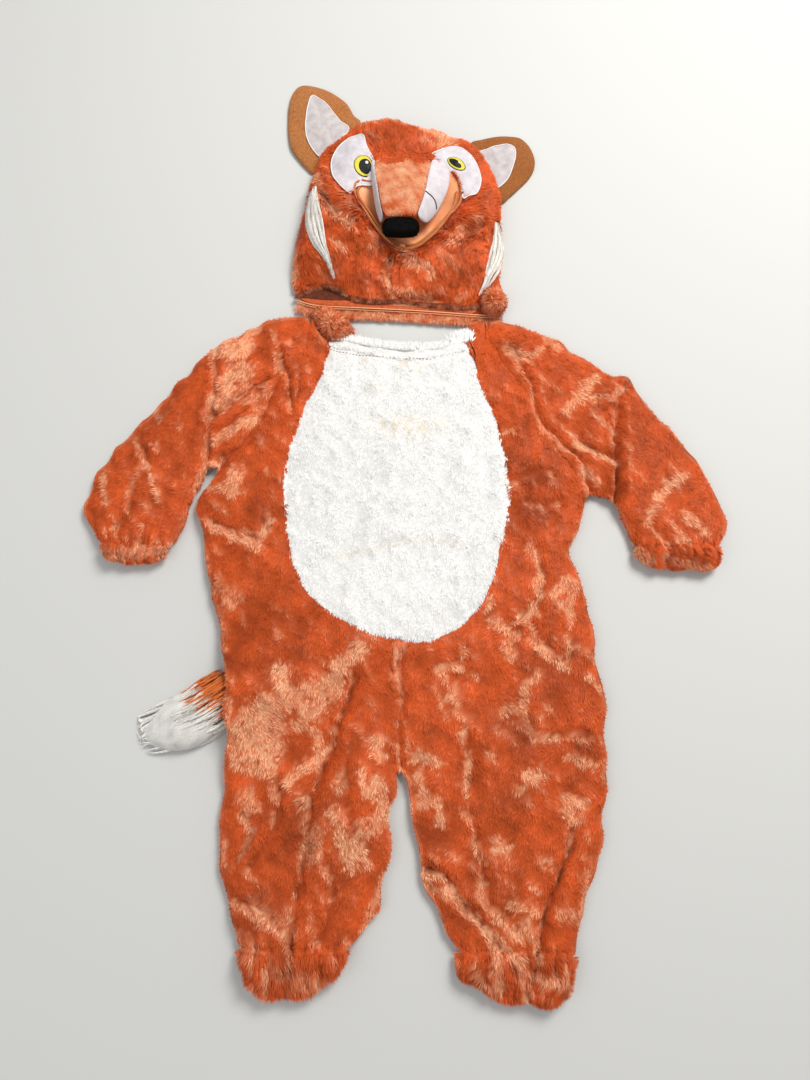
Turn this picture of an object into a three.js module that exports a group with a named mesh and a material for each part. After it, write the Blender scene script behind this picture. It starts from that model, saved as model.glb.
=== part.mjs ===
// A small child's fox costume, laid out flat: a plush jumpsuit with a cream belly,
// its tail tucked under the back, and a loose fox-head hood just above the neck.
//
// Units are millimetres. +X is to the right, +Y runs from the legs up to the hood and
// +Z is up from the surface that the costume lies on. "Left" and "right" are as seen
// from above with the hood at the top.
import * as THREE from 'three';

// Driving dimensions of the plush and of how its layers lie
const BACK_CLOTH = 7;
const FRONT_CLOTH = 9;
const HOOD_BACK_CLOTH = 6;
const HOOD_CLOTH = 7;
const FELT = 2;
const EAR_FELT = 4;
const BODY_AIR = 3.6;
const HOOD_AIR = 24;
const HOOD_HEM_AIR = 9;
const LAYER_GAP = 0.3;
const SEAM_INSET = 0.17;
const UNDERSIDE_BEVEL = 1.8;
const RIM_REACH = 13;
const RIM_SHARE = 0.42;
const BODY_AIR_REACH = 35;
const HOOD_AIR_REACH = 65;
const LEAST_WALL = 2;
const BINDING_RADIUS = 2.1;

// Where the middle of the outline's box lies, measured from the middle of the belly
const OUTLINE_MIDDLE = { x: -0.3, y: 58.7 };

// Colours of the cloths
const ORANGE = 0xd4541c;
const LIGHT_ORANGE = 0xe07a3c;
const EAR_BROWN = 0xb5672b;
const CREAM = 0xf1ede4;
const WHITE = 0xf4f2f1;
const BLACK = 0x121010;
const YELLOW = 0xe8d84a;
const LINING = 0xe08a55;

// How many steps each stretch of the body's outer and inner edges is cut into
const STRETCH_STEPS = { shoulder: 10, waist: 5, hip: 6, thigh: 5, leg: 9 };
const ACROSS_FRONT = 10;
const ACROSS_BACK = 9;
const ACROSS_BACK_RIGHT = 5;
const ACROSS_SLEEVE = 10;
const ALONG_SLEEVE = 18;

// Outlines of the body: each row is x, y, and each table is one stretch of an edge
const OUTER_LEFT = {
  shoulder: [[-114, 278], [-112, 240], [-125, 215], [-155, 174], [-186, 115], [-208, 90]],
  waist: [[-208, 90], [-231, 59], [-238, 36], [-232, 0]],
  hip: [[-232, 0], [-222, -42], [-212, -76], [-202, -118], [-194, -150]],
  thigh: [[-194, -150], [-192, -223], [-194, -268]],
  leg: [[-194, -268], [-196, -336], [-190, -372], [-178, -405], [-172, -431]],
};
const INNER_LEFT = {
  shoulder: [[-91, 230], [-98, 202], [-124, 145], [-136, 100]],
  waist: [[-136, 100], [-138, 49], [-135, 19], [-129, -18]],
  hip: [[-129, -18], [-121, -44], [-108, -67], [-87, -85], [-41, -106], [-7, -122]],
  thigh: [[-7, -122], [-11, -181], [-6, -249]],
  leg: [[-6, -249], [-15, -305], [-17, -345], [-24, -388], [-42, -416], [-57, -430]],
};
const OUTER_RIGHT = {
  shoulder: [[96, 268], [96, 240], [112, 214], [132, 188], [162, 130], [186, 84], [212, 51]],
  waist: [[212, 51], [205, 27], [192, -2], [186, -25]],
  hip: [[186, -25], [194, -42], [204, -76], [210, -110], [213, -148]],
  thigh: [[213, -148], [218, -185], [218, -234], [214, -273]],
  leg: [[214, -273], [207, -337], [196, -368], [182, -402], [176, -436]],
};
const INNER_RIGHT = {
  shoulder: [[79, 230], [88, 194], [106, 145], [116, 100]],
  waist: [[116, 100], [120, 49], [117, 22], [108, -13]],
  hip: [[108, -13], [102, -39], [87, -73], [70, -95], [31, -115], [-5, -122]],
  thigh: [[-5, -122], [-9, -181], [-4, -249]],
  leg: [[-4, -249], [9, -305], [13, -345], [26, -385], [43, -415], [51, -434]],
};
const NECK_LEFT = [[-114, 278], [-101, 258], [-92, 243], [-91, 230]];
const NECK_RIGHT = [[96, 268], [84, 267], [77, 257], [79, 243], [79, 230]];
const NECK_STITCH = [[-91, 230], [-53, 224], [-12, 216], [41, 219], [79, 230]];
const NECK_EDGE = [[-91, 243], [-65, 243], [-36, 233], [-6, 229], [18, 229], [42, 233], [60, 241], [79, 243]];
const SLEEVE_LEFT = {
  top: [[-114, 278], [-144, 273], [-169, 267], [-198, 250], [-219, 243], [-264, 195], [-326, 118],
    [-348, 95], [-364, 62], [-369, 32], [-346, -6]],
  under: [[-208, 90], [-231, 80], [-238, 62], [-250, 26], [-267, -12]],
  cuff: [[-346, -6], [-267, -12]],
  cuffEdge: [[-339, -22], [-330, -27], [-300, -30], [-272, -25]],
};
const SLEEVE_RIGHT = {
  top: [[96, 268], [120, 268], [159, 254], [183, 245], [217, 213], [239, 203], [262, 199], [273, 189],
    [293, 147], [308, 134], [342, 88], [362, 47], [369, 18], [362, -8]],
  under: [[212, 51], [226, 50], [242, 43], [251, 12], [259, -12]],
  cuff: [[362, -8], [259, -12]],
  cuffEdge: [[352, -27], [340, -39], [318, -38], [287, -33], [262, -26]],
};
const HEM_LEFT = {
  stitch: [[-172, -431], [-57, -430]],
  edge: [[-160, -452], [-151, -468], [-132, -474], [-102, -471], [-82, -462], [-66, -447]],
};
const HEM_RIGHT = {
  stitch: [[51, -434], [176, -436]],
  edge: [[54, -456], [70, -467], [88, -473], [105, -481], [127, -483], [151, -484], [167, -474], [170, -456]],
};
const CENTRE_BACK = [[-6, 229], [-9, 50], [-6, -100], [-5, -249]];

// Creases and laps of the body's front: a ridge or trough has a signed height, and a
// lap lifts the cloth on the right of its line, seen from its first end
const BODY_FOLDS = [
  { x0: -223, y0: 240, x1: -231, y1: 76, width: 40, height: 5, kind: 'lap' },
  { x0: 242, y0: 42, x1: 258, y1: 198, width: 40, height: 5, kind: 'lap' },
  { x0: -223, y0: 132, x1: -161, y1: 194, width: 9, height: -3, kind: 'crease' },
  { x0: -223, y0: 122, x1: -181, y1: 157, width: 8, height: -2.5, kind: 'crease' },
  { x0: -215, y0: 150, x1: -196, y1: 216, width: 17, height: 2.5, kind: 'crease' },
  { x0: 180, y0: 144, x1: 250, y1: 177, width: 9, height: -2.5, kind: 'crease' },
  { x0: 186, y0: 116, x1: 239, y1: 92, width: 8, height: -2, kind: 'crease' },
  { x0: 314, y0: 66, x1: 275, y1: 24, width: 10, height: -2.5, kind: 'crease' },
  { x0: -218, y0: 7, x1: -141, y1: 19, width: 11, height: -2, kind: 'crease' },
  { x0: 129, y0: -10, x1: 175, y1: 19, width: 10, height: -2, kind: 'crease' },
  { x0: -52, y0: -149, x1: -101, y1: -303, width: 13, height: -3, kind: 'crease' },
  { x0: -101, y0: -303, x1: -108, y1: -405, width: 12, height: -3.5, kind: 'crease' },
  { x0: -88, y0: -175, x1: -132, y1: -330, width: 22, height: 4, kind: 'crease' },
  { x0: -131, y0: -263, x1: -147, y1: -372, width: 10, height: -2.5, kind: 'crease' },
  { x0: -36, y0: -283, x1: -62, y1: -398, width: 18, height: 3, kind: 'crease' },
  { x0: 175, y0: -305, x1: 141, y1: -385, width: 12, height: -4, kind: 'crease' },
  { x0: 141, y0: -385, x1: 128, y1: -436, width: 10, height: -4.5, kind: 'crease' },
  { x0: 36, y0: -350, x1: 84, y1: -414, width: 10, height: -3.5, kind: 'crease' },
  { x0: 64, y0: -223, x1: 82, y1: -411, width: 11, height: -2.5, kind: 'crease' },
  { x0: 100, y0: -180, x1: 118, y1: -380, width: 26, height: 3.5, kind: 'crease' },
  { x0: 143, y0: -100, x1: 168, y1: -143, width: 10, height: -2, kind: 'crease' },
  { x0: -106, y0: 268, x1: -101, y1: 238, width: 12, height: 5, kind: 'crease' },
];

// The tail's line under the back and out at the left hip, with its half width and height.
// Its root is sewn to the back, so it stands up to it there
const TAIL_ROWS = [
  { x: -12, y: -93, half: 17, height: 11, sewn: 2.9 },
  { x: -60, y: -107, half: 22, height: 13 },
  { x: -110, y: -127, half: 25, height: 14 },
  { x: -152, y: -150, half: 27, height: 15 },
  { x: -188, y: -173, half: 28, height: 17 },
  { x: -213, y: -188, half: 29, height: 21 },
];
const TAIL_TIP_ROWS = [
  { x: -213, y: -188, half: 30, height: 22 },
  { x: -229, y: -198, half: 33, height: 24 },
  { x: -246, y: -207, half: 32, height: 22 },
  { x: -262, y: -213, half: 25, height: 18 },
  { x: -275, y: -216, half: 16, height: 12 },
  { x: -285, y: -217, half: 7, height: 6 },
];
const TAIL_ROOM = 3.4;
const TAIL_FLAT_TOP = 16;
const TAIL_DRAPE = 72;

// Outlines of the hood
const HOOD_LEFT_UPPER = [[-121, 440], [-116, 462], [-106, 492], [-92, 507]];
const HOOD_CROWN = [[-92, 507], [-72, 528], [-56, 540], [-35, 542], [-20, 546], [-5, 542], [25, 530],
  [64, 517], [82, 511]];
const HOOD_RIGHT_UPPER = [[82, 511], [93, 498], [108, 471], [118, 438], [119, 400]];
const HOOD_LEFT_LOWER = [[-121, 440], [-125, 417], [-131, 394], [-137, 357], [-138, 326], [-135, 305]];
const HOOD_RIGHT_LOWER = [[119, 400], [121, 362], [116, 331], [106, 312]];
const FACE_LEFT = [[-40, 387], [-50, 404], [-61, 425], [-57, 437], [-43, 446]];
const FACE_ROOT_LEFT = [[-43, 446], [-38, 459]];
const FACE_ROOT = [[-38, 459], [31, 460]];
const FACE_ROOT_RIGHT = [[31, 460], [47, 457]];
const FACE_RIGHT = [[47, 457], [59, 449], [66, 429], [64, 409], [52, 390], [41, 377]];
const FACE_CHIN_LEFT = [[-40, 387], [-34, 376], [-17, 358], [-3, 351]];
const FACE_CHIN_RIGHT = [[-3, 351], [16, 355], [32, 367], [41, 377]];
const JAW_LEFT = [[-121, 440], [-98, 424], [-70, 398], [-40, 387]];
const JAW_RIGHT = [[41, 377], [68, 373], [96, 384], [119, 400]];
const CHIN_SEAM = [[-3, 351], [-8, 325], [-6, 297]];
const HOOD_HEM_LEFT = [[-135, 305], [-125, 312], [-103, 317], [-77, 306], [-51, 295], [-6, 297]];
const HOOD_HEM_RIGHT = [[-6, 297], [20, 293], [53, 291], [82, 295], [106, 312]];
const HOOD_BACK_HEM = [[-135, 305], [-133, 297], [-115, 289], [-77, 284], [-34, 281], [10, 275],
  [64, 271], [94, 273], [114, 275], [121, 284], [122, 300], [116, 331]];
const HEM_FACING = {
  upper: [[-131, 302], [-110, 301], [-77, 299], [-51, 291], [-12, 293], [20, 289], [53, 287], [90, 289]],
  lower: [[-130, 297], [-108, 290], [-60, 287], [-12, 284], [42, 281], [88, 277]],
};
const HOOD_FOLDS = [
  { x0: -58, y0: 388, x1: -122, y1: 440, width: 26, height: 4, kind: 'lap' },
  { x0: 112, y0: 394, x1: 56, y1: 368, width: 22, height: 3, kind: 'lap' },
  { x0: -23, y0: 336, x1: -14, y1: 306, width: 9, height: -2.5, kind: 'crease' },
  { x0: -103, y0: 346, x1: -100, y1: 312, width: 19, height: 7, kind: 'crease' },
  { x0: -60, y0: 372, x1: 66, y1: 352, width: 14, height: 2, kind: 'crease' },
  { x0: 30, y0: 326, x1: 76, y1: 312, width: 18, height: 3, kind: 'crease' },
  { x0: -12, y0: 525, x1: -2, y1: 470, width: 24, height: 3, kind: 'crease' },
];

// The face: the snout's rows run from its root down to the nose, and each gives the
// corners of its orange top, the foot of its white sides and both heights
const SNOUT_ROWS = [
  { y: 456, topLeft: -35, topRight: 29, top: 45, footLeft: -38, footRight: 43, foot: 36 },
  { y: 446, topLeft: -35, topRight: 27, top: 50, footLeft: -39, footRight: 50, foot: 36 },
  { y: 430, topLeft: -34, topRight: 25, top: 54, footLeft: -39, footRight: 54, foot: 34 },
  { y: 411, topLeft: -33, topRight: 24, top: 56, footLeft: -38, footRight: 47, foot: 33 },
  { y: 393, topLeft: -30, topRight: 18, top: 57, footLeft: -34, footRight: 37, foot: 34 },
  { y: 380, topLeft: -27, topRight: 14, top: 56, footLeft: -30, footRight: 27, foot: 37 },
];
const SNOUT_CROWN = 3;
const SNOUT_SIDE_WALL = 3;
const NOSE = { x: -5, y: 368, z: 48, halfWidth: 22, halfLength: 11.4, halfHeight: 10, squareness: 0.55 };
const PATCH_LEFT = {
  outer: [[-68, 503], [-83, 492], [-91, 468], [-87, 446], [-77, 430], [-67, 422]],
  inner: [[-53, 504], [-47, 488], [-42, 474], [-40, 456], [-45, 441], [-61, 425]],
};
const PATCH_RIGHT = {
  outer: [[64, 491], [80, 479], [91, 459], [91, 438], [86, 424], [76, 418]],
  inner: [[54, 489], [38, 478], [41, 468], [56, 459], [68, 442], [71, 421]],
};
const EYE_LEFT = { x: -54, y: 459, halfLong: 15, halfShort: 12, turn: 95 };
const EYE_RIGHT = { x: 65, y: 463, halfLong: 15, halfShort: 8, turn: -40 };
const EYE_FELT = 1.2;
const SEAT = 0.5;

// Ears: the base follows the hood's outline, and the two sides run to the tip
const EAR_LEFT = {
  base: [[-61.3, 537.3], [-73.3, 527.8], [-93.3, 506.8], [-107.3, 491.3], [-116.8, 468.3]],
  upper: [[-61.3, 537.3], [-77, 565], [-95, 590], [-118, 600], [-134, 602]],
  lower: [[-116.8, 468.3], [-137, 502], [-149, 540], [-151, 570], [-145, 591]],
};
const EAR_LEFT_INNER = {
  base: [[-72, 533], [-84, 522], [-97, 508], [-108, 495.5]],
  upper: [[-72, 533], [-84, 549], [-98, 568], [-115, 582]],
  lower: [[-108, 495.5], [-120, 510], [-127, 536], [-125, 568]],
};
const EAR_RIGHT = {
  base: [[83.2, 512.7], [94.1, 498.8], [108.5, 472.3], [118.6, 439.5]],
  upper: [[83.2, 512.7], [98, 519], [120, 523], [146, 522]],
  lower: [[118.6, 439.5], [144, 449], [160, 469], [165, 490]],
};
const EAR_RIGHT_INNER = {
  base: [[90, 511], [98, 499], [107, 484], [114.5, 465]],
  upper: [[90, 511], [107, 512], [122, 513], [136, 512]],
  lower: [[114.5, 465], [124, 459], [135, 472], [140, 493]],
};
const EAR_BASE_LIFT = 4.5;
const EAR_LIFT_REACH = 45;

// White locks sewn in at the cheeks
const LOCK_LEFT = {
  outer: [[-116, 423], [-119, 406], [-118, 386], [-110, 362], [-98, 342], [-89, 330]],
  inner: [[-108, 423], [-106, 408], [-103, 390], [-97, 366], [-91, 346], [-86, 331]],
};
const LOCK_RIGHT = {
  outer: [[116, 386], [117, 368], [115, 344], [108, 325], [101, 311]],
  inner: [[110, 386], [106, 366], [102, 344], [98, 326], [96, 312]],
};
const LOCK_THICKNESS = 4;
const LOCK_SEAT = 1.4;

// The furry edge rolled over at the neck's left, and at the hood's right back corner
const NECK_ROLL = [[-113.4, 278.2], [-103, 284], [-90, 281], [-74, 269], [-64, 254], [-70, 246],
  [-89, 244.4], [-100.4, 257]];
const NECK_ROLL_HEIGHT = 21;
const CORNER_ROLL = [[98, 304], [104, 306.5], [111, 304], [119, 296], [118, 284], [110, 277], [100, 280],
  [96, 292]];
const CORNER_ROLL_HEIGHT = 17;

// Gathers on the elastic
const SLEEVE_GATHERS = 7;
const LEG_GATHERS = 9;
const GATHER_STEPS = 4;
const GATHER_HEIGHT = 3.2;

const clamp = (value, low, high) => Math.min(high, Math.max(low, value));
const smooth = (value, low, high) => THREE.MathUtils.smoothstep(value, low, high);

// A quarter-round rise from 0 at an edge to 1 at the given reach
function roundRise(distance, reach) {
  const share = clamp(distance / reach, 0, 1);
  return Math.sqrt(1 - (1 - share) ** 2);
}

// Points evenly spaced along a smooth line through a table's rows
function edge(rows, steps) {
  const line = new THREE.SplineCurve(rows.map(([x, y]) => new THREE.Vector2(x, y)));
  return line.getSpacedPoints(steps);
}

// Several edges end to end, with each shared end kept once
function chain(...edges) {
  return edges.reduce((whole, next) => (whole.length ? whole.concat(next.slice(1)) : next), []);
}

function stretches(tables) {
  return chain(...Object.entries(tables).map(([name, rows]) => edge(rows, STRETCH_STEPS[name])));
}

function reversed(points) {
  return [...points].reverse();
}

// Distance from a point to the nearest side of a closed outline
function distanceToOutline(outline, x, y) {
  let nearest = Infinity;
  for (let i = 0; i < outline.length; i += 1) {
    const a = outline[i];
    const b = outline[(i + 1) % outline.length];
    const dx = b.x - a.x;
    const dy = b.y - a.y;
    const share = clamp(((x - a.x) * dx + (y - a.y) * dy) / (dx * dx + dy * dy || 1), 0, 1);
    nearest = Math.min(nearest, Math.hypot(x - a.x - share * dx, y - a.y - share * dy));
  }
  return nearest;
}

// Height that one fold adds at a point: soft across its width and fading at its ends
function foldHeight(fold, x, y) {
  const length = Math.hypot(fold.x1 - fold.x0, fold.y1 - fold.y0);
  const ux = (fold.x1 - fold.x0) / length;
  const uy = (fold.y1 - fold.y0) / length;
  const along = (x - fold.x0) * ux + (y - fold.y0) * uy;
  const right = (x - fold.x0) * uy - (y - fold.y0) * ux;
  const past = Math.max(0, -along, along - length);
  const fade = Math.exp(-((past / fold.width) ** 2) * 2);
  if (fold.kind === 'lap') {
    const side = right < 0 ? smooth(right, -fold.width * 0.12, 0) : 1 - smooth(right, 0, fold.width);
    return fold.height * side * fade;
  }
  return fold.height * Math.exp(-((right / fold.width) ** 2)) * fade;
}

function foldsAt(folds, x, y) {
  return folds.reduce((sum, fold) => sum + foldHeight(fold, x, y), 0);
}

// The loose swell of plush that nobody has smoothed flat
function billow(x, y) {
  return 1.1 * Math.sin(x / 37 + y / 61 + 0.7) + 0.8 * Math.sin(y / 43 - x / 71 + 2.1);
}

// Room under the back for the tail that lies there
function tailRoom(x, y) {
  let room = 0;
  for (let i = 0; i + 1 < TAIL_ROWS.length; i += 1) {
    const a = TAIL_ROWS[i];
    const b = TAIL_ROWS[i + 1];
    const dx = b.x - a.x;
    const dy = b.y - a.y;
    const share = clamp(((x - a.x) * dx + (y - a.y) * dy) / (dx * dx + dy * dy), 0, 1);
    const away = Math.hypot(x - a.x - share * dx, y - a.y - share * dy);
    const height = THREE.MathUtils.lerp(a.height, b.height, share) + TAIL_ROOM;
    room = Math.max(room, height * (1 - smooth(away, TAIL_FLAT_TOP, TAIL_DRAPE)));
  }
  return room;
}

// A grid of points inside four edges: sides A and B run along the piece, and the start
// and end run across it from A to B
function fillEdges(start, end, sideA, sideB, shares) {
  const last = sideA.length - 1;
  return sideA.map((a, i) => {
    const u = i / last;
    const b = sideB[i];
    return shares.map((v, j) => {
      const blend = (axis) => (1 - v) * a[axis] + v * b[axis]
        + (1 - u) * start[j][axis] + u * end[j][axis]
        - (1 - u) * ((1 - v) * sideA[0][axis] + v * sideB[0][axis])
        - u * ((1 - v) * sideA[last][axis] + v * sideB[last][axis]);
      return new THREE.Vector2(blend('x'), blend('y'));
    });
  });
}

// Even shares of the way across, or shares that lie closer together near side A
function sharesAcross(steps, power = 1) {
  return Array.from({ length: steps + 1 }, (_, j) => (j / steps) ** power);
}

function edgeAt(rows, shares) {
  const line = new THREE.SplineCurve(rows.map(([x, y]) => new THREE.Vector2(x, y)));
  return shares.map((share) => line.getPointAt(share));
}

function signedArea(loop) {
  return loop.reduce((sum, point, i) => {
    const next = loop[(i + 1) % loop.length];
    return sum + (point.x * next.y - next.x * point.y) / 2;
  }, 0);
}

// A closed outline drawn in by a distance, so that pieces stay apart at their seams
function insetLoop(loop, distance) {
  const sense = Math.sign(signedArea(loop));
  const count = loop.length;
  return loop.map((point, i) => {
    const before = loop[(i + count - 1) % count];
    const after = loop[(i + 1) % count];
    const first = new THREE.Vector2(before.y - point.y, point.x - before.x).normalize();
    const second = new THREE.Vector2(point.y - after.y, after.x - point.x).normalize();
    const normal = first.add(second).normalize();
    return point.clone().addScaledVector(normal, sense * distance);
  });
}

// A closed solid from vertices and triangles, with its faces turned outwards
function solid(vertices, triangles) {
  const volume = triangles.reduce((sum, [a, b, c]) => {
    const cross = new THREE.Vector3().crossVectors(vertices[b], vertices[c]);
    return sum + vertices[a].dot(cross) / 6;
  }, 0);
  const faces = volume > 0 ? triangles : triangles.map(([a, b, c]) => [a, c, b]);
  const geometry = new THREE.BufferGeometry();
  geometry.setAttribute('position', new THREE.Float32BufferAttribute(vertices.flatMap((v) => [v.x, v.y, v.z]), 3));
  geometry.setIndex(faces.flat());
  geometry.computeVertexNormals();
  return geometry;
}

// A sheet of cloth with a real wall: a grid in plan, lifted to its top and its bottom
function sheet(grid, topAt, bottomAt, bevel = 0) {
  const rows = grid.length - 1;
  const columns = grid[0].length - 1;
  const at = (i, j) => i * (columns + 1) + j;
  const flat = grid.flat();
  const loop = [];
  for (let j = 0; j < columns; j += 1) loop.push(at(0, j));
  for (let i = 0; i < rows; i += 1) loop.push(at(i, columns));
  for (let j = columns; j > 0; j -= 1) loop.push(at(rows, j));
  for (let i = rows; i > 0; i -= 1) loop.push(at(i, 0));
  const outline = loop.map((index) => flat[index]);
  const topLoop = insetLoop(outline, SEAM_INSET);
  const bottomLoop = insetLoop(outline, SEAM_INSET + bevel);
  const topPlan = [...flat];
  const bottomPlan = [...flat];
  loop.forEach((index, k) => {
    topPlan[index] = topLoop[k];
    bottomPlan[index] = bottomLoop[k];
  });
  const top = topPlan.map((p, k) => new THREE.Vector3(p.x, p.y, topAt(flat[k].x, flat[k].y)));
  const bottom = bottomPlan.map((p, k) => {
    const height = Math.min(bottomAt(flat[k].x, flat[k].y), top[k].z - LEAST_WALL);
    return new THREE.Vector3(p.x, p.y, height);
  });
  const under = flat.length;
  const triangles = [];
  for (let i = 0; i < rows; i += 1) {
    for (let j = 0; j < columns; j += 1) {
      const corners = [at(i, j), at(i, j + 1), at(i + 1, j + 1), at(i + 1, j)];
      const [a, b, c, d] = corners;
      triangles.push([a, b, c], [a, c, d]);
      triangles.push([under + a, under + c, under + b], [under + a, under + d, under + c]);
    }
  }
  loop.forEach((index, k) => {
    const next = loop[(k + 1) % loop.length];
    triangles.push([index, under + next, next], [index, under + index, under + next]);
  });
  return solid([...top, ...bottom], triangles);
}

// A plain flat layer with its lower edge drawn in
function slab(outline, bottomHeight, topHeight, bevel = 0) {
  const top = insetLoop(outline, SEAM_INSET).map((p) => new THREE.Vector3(p.x, p.y, topHeight));
  const bottom = insetLoop(outline, SEAM_INSET + bevel).map((p) => new THREE.Vector3(p.x, p.y, bottomHeight));
  const faces = THREE.ShapeUtils.triangulateShape(outline, []);
  const count = outline.length;
  const triangles = faces.map(([a, b, c]) => [a, b, c]);
  const sense = Math.sign(signedArea(faces[0].map((index) => outline[index])));
  faces.forEach(([a, b, c]) => triangles.push([count + a, count + c, count + b]));
  const outlineSense = Math.sign(signedArea(outline));
  for (let k = 0; k < count; k += 1) {
    const next = (k + 1) % count;
    const ring = sense === outlineSense
      ? [[k, count + next, next], [k, count + k, count + next]]
      : [[k, next, count + next], [k, count + next, count + k]];
    triangles.push(...ring);
  }
  return solid([...top, ...bottom], triangles);
}

// A solid through rings of points, closed by a fan at each end
function loft(rings) {
  const count = rings[0].length;
  const vertices = rings.flat();
  const triangles = [];
  for (let i = 0; i + 1 < rings.length; i += 1) {
    for (let k = 0; k < count; k += 1) {
      const a = i * count + k;
      const b = i * count + ((k + 1) % count);
      triangles.push([a, b, b + count], [a, b + count, a + count]);
    }
  }
  const middle = (ring) => ring.reduce((sum, p) => sum.add(p), new THREE.Vector3()).divideScalar(count);
  const first = vertices.length;
  vertices.push(middle(rings[0]), middle(rings[rings.length - 1]));
  const lastRing = (rings.length - 1) * count;
  for (let k = 0; k < count; k += 1) {
    const next = (k + 1) % count;
    triangles.push([first, next, k], [first + 1, lastRing + k, lastRing + next]);
  }
  return solid(vertices, triangles);
}

// A soft lump over an outline, flat underneath
function lump(rows, baseHeight, height, steps = 20, levels = 4) {
  const outline = edge([...rows, rows[0]], steps).slice(0, steps);
  const middle = outline.reduce((sum, p) => sum.add(p), new THREE.Vector2()).divideScalar(steps);
  const rings = [];
  for (let level = 0; level <= levels; level += 1) {
    const angle = (level / levels) * Math.PI * 0.46;
    const reach = Math.cos(angle) ** 0.8;
    rings.push(outline.map((p) => new THREE.Vector3(
      middle.x + (p.x - middle.x) * reach,
      middle.y + (p.y - middle.y) * reach,
      baseHeight + height * Math.sin(angle),
    )));
  }
  return loft(rings);
}

const costume = new THREE.Group();
costume.position.set(-OUTLINE_MIDDLE.x, -OUTLINE_MIDDLE.y, 0);

function add(name, geometry, color, roughness = 0.95) {
  const material = new THREE.MeshStandardMaterial({ color, roughness, metalness: 0 });
  const mesh = new THREE.Mesh(geometry, material);
  mesh.name = name;
  costume.add(mesh);
}

// Shared edges of the jumpsuit
const outerLeft = stretches(OUTER_LEFT);
const innerLeft = stretches(INNER_LEFT);
const outerRight = stretches(OUTER_RIGHT);
const innerRight = stretches(INNER_RIGHT);
const bellySteps = STRETCH_STEPS.shoulder + STRETCH_STEPS.waist + STRETCH_STEPS.hip;
const legSteps = STRETCH_STEPS.leg;
const sleeveShares = sharesAcross(ACROSS_SLEEVE);

function sleeveEdges(sleeve) {
  return { top: edge(sleeve.top, ALONG_SLEEVE), under: edge(sleeve.under, ALONG_SLEEVE) };
}

const sleeveLeft = sleeveEdges(SLEEVE_LEFT);
const sleeveRight = sleeveEdges(SLEEVE_RIGHT);

// The whole jumpsuit's outline, once round from the neck's left
const OUTLINE_STEPS = 8;
const bodyOutline = [
  ...sleeveLeft.top,
  ...edge(SLEEVE_LEFT.cuffEdge, OUTLINE_STEPS),
  ...reversed(sleeveLeft.under),
  ...outerLeft.slice(STRETCH_STEPS.shoulder),
  ...edge(HEM_LEFT.edge, OUTLINE_STEPS),
  ...reversed(innerLeft.slice(-legSteps - 1)),
  ...innerRight.slice(-legSteps - 1),
  ...edge(HEM_RIGHT.edge, OUTLINE_STEPS),
  ...reversed(outerRight.slice(STRETCH_STEPS.shoulder)),
  ...sleeveRight.under,
  ...reversed(edge(SLEEVE_RIGHT.cuffEdge, OUTLINE_STEPS)),
  ...reversed(sleeveRight.top),
  ...edge(NECK_RIGHT.slice(0, 4), OUTLINE_STEPS),
  ...reversed(edge(NECK_EDGE, OUTLINE_STEPS)),
  ...reversed(edge(NECK_LEFT.slice(0, 3), OUTLINE_STEPS)),
];

const rimDistance = (x, y) => distanceToOutline(bodyOutline, x, y);
const rimShare = (distance) => RIM_SHARE + (1 - RIM_SHARE) * roundRise(distance, RIM_REACH);
const bodyAir = (x, y) => BODY_AIR * roundRise(rimDistance(x, y), BODY_AIR_REACH);
const backBottom = (x, y) => tailRoom(x, y);
const backTop = (x, y) => tailRoom(x, y) + BACK_CLOTH;

function frontTop(x, y) {
  const distance = rimDistance(x, y);
  const loose = (foldsAt(BODY_FOLDS, x, y) + billow(x, y)) * roundRise(distance, BODY_AIR_REACH);
  return backTop(x, y) + LAYER_GAP + bodyAir(x, y) + FRONT_CLOTH * rimShare(distance) + loose;
}

// The wall's inside follows a fold by half, so that a ridge is hollow below
function frontBottom(x, y) {
  const fold = Math.max(0, foldsAt(BODY_FOLDS, x, y)) * roundRise(rimDistance(x, y), BODY_AIR_REACH);
  return backTop(x, y) + LAYER_GAP + bodyAir(x, y) + 0.5 * fold;
}

// Body panels: the fronts run from the neck to the hem, round the belly
function addFront(name, outer, inner, neck, hem) {
  const shares = sharesAcross(ACROSS_FRONT, 1.3);
  const grid = fillEdges(edgeAt(neck, shares), edgeAt(hem, shares), outer, inner, shares);
  add(name, sheet(grid, frontTop, frontBottom), ORANGE);
}

addFront('front_left', outerLeft, innerLeft, NECK_LEFT, HEM_LEFT.stitch);
addFront('front_right', outerRight, innerRight, NECK_RIGHT, reversed(HEM_RIGHT.stitch));

const ACROSS_BELLY = 12;
const bellyShares = sharesAcross(ACROSS_BELLY);
const bellyGrid = fillEdges(
  edgeAt(NECK_STITCH, bellyShares),
  edgeAt([[-7, -122], [-5, -122]], bellyShares),
  innerLeft.slice(0, bellySteps + 1),
  innerRight.slice(0, bellySteps + 1),
  bellyShares,
);
const NARROWEST_BELLY_ROW = 1;
add('belly', sheet(bellyGrid.slice(0, -NARROWEST_BELLY_ROW), frontTop, frontBottom), CREAM);

const NECK_BAND_ROWS = 2;
const neckBandGrid = fillEdges(
  edgeAt(NECK_STITCH, bellyShares),
  edgeAt(NECK_EDGE, bellyShares),
  edge([NECK_STITCH[0], NECK_EDGE[0]], NECK_BAND_ROWS),
  edge([NECK_STITCH.at(-1), NECK_EDGE.at(-1)], NECK_BAND_ROWS),
  bellyShares,
);
add('neck_band', sheet(neckBandGrid, frontTop, frontBottom), CREAM);

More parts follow.
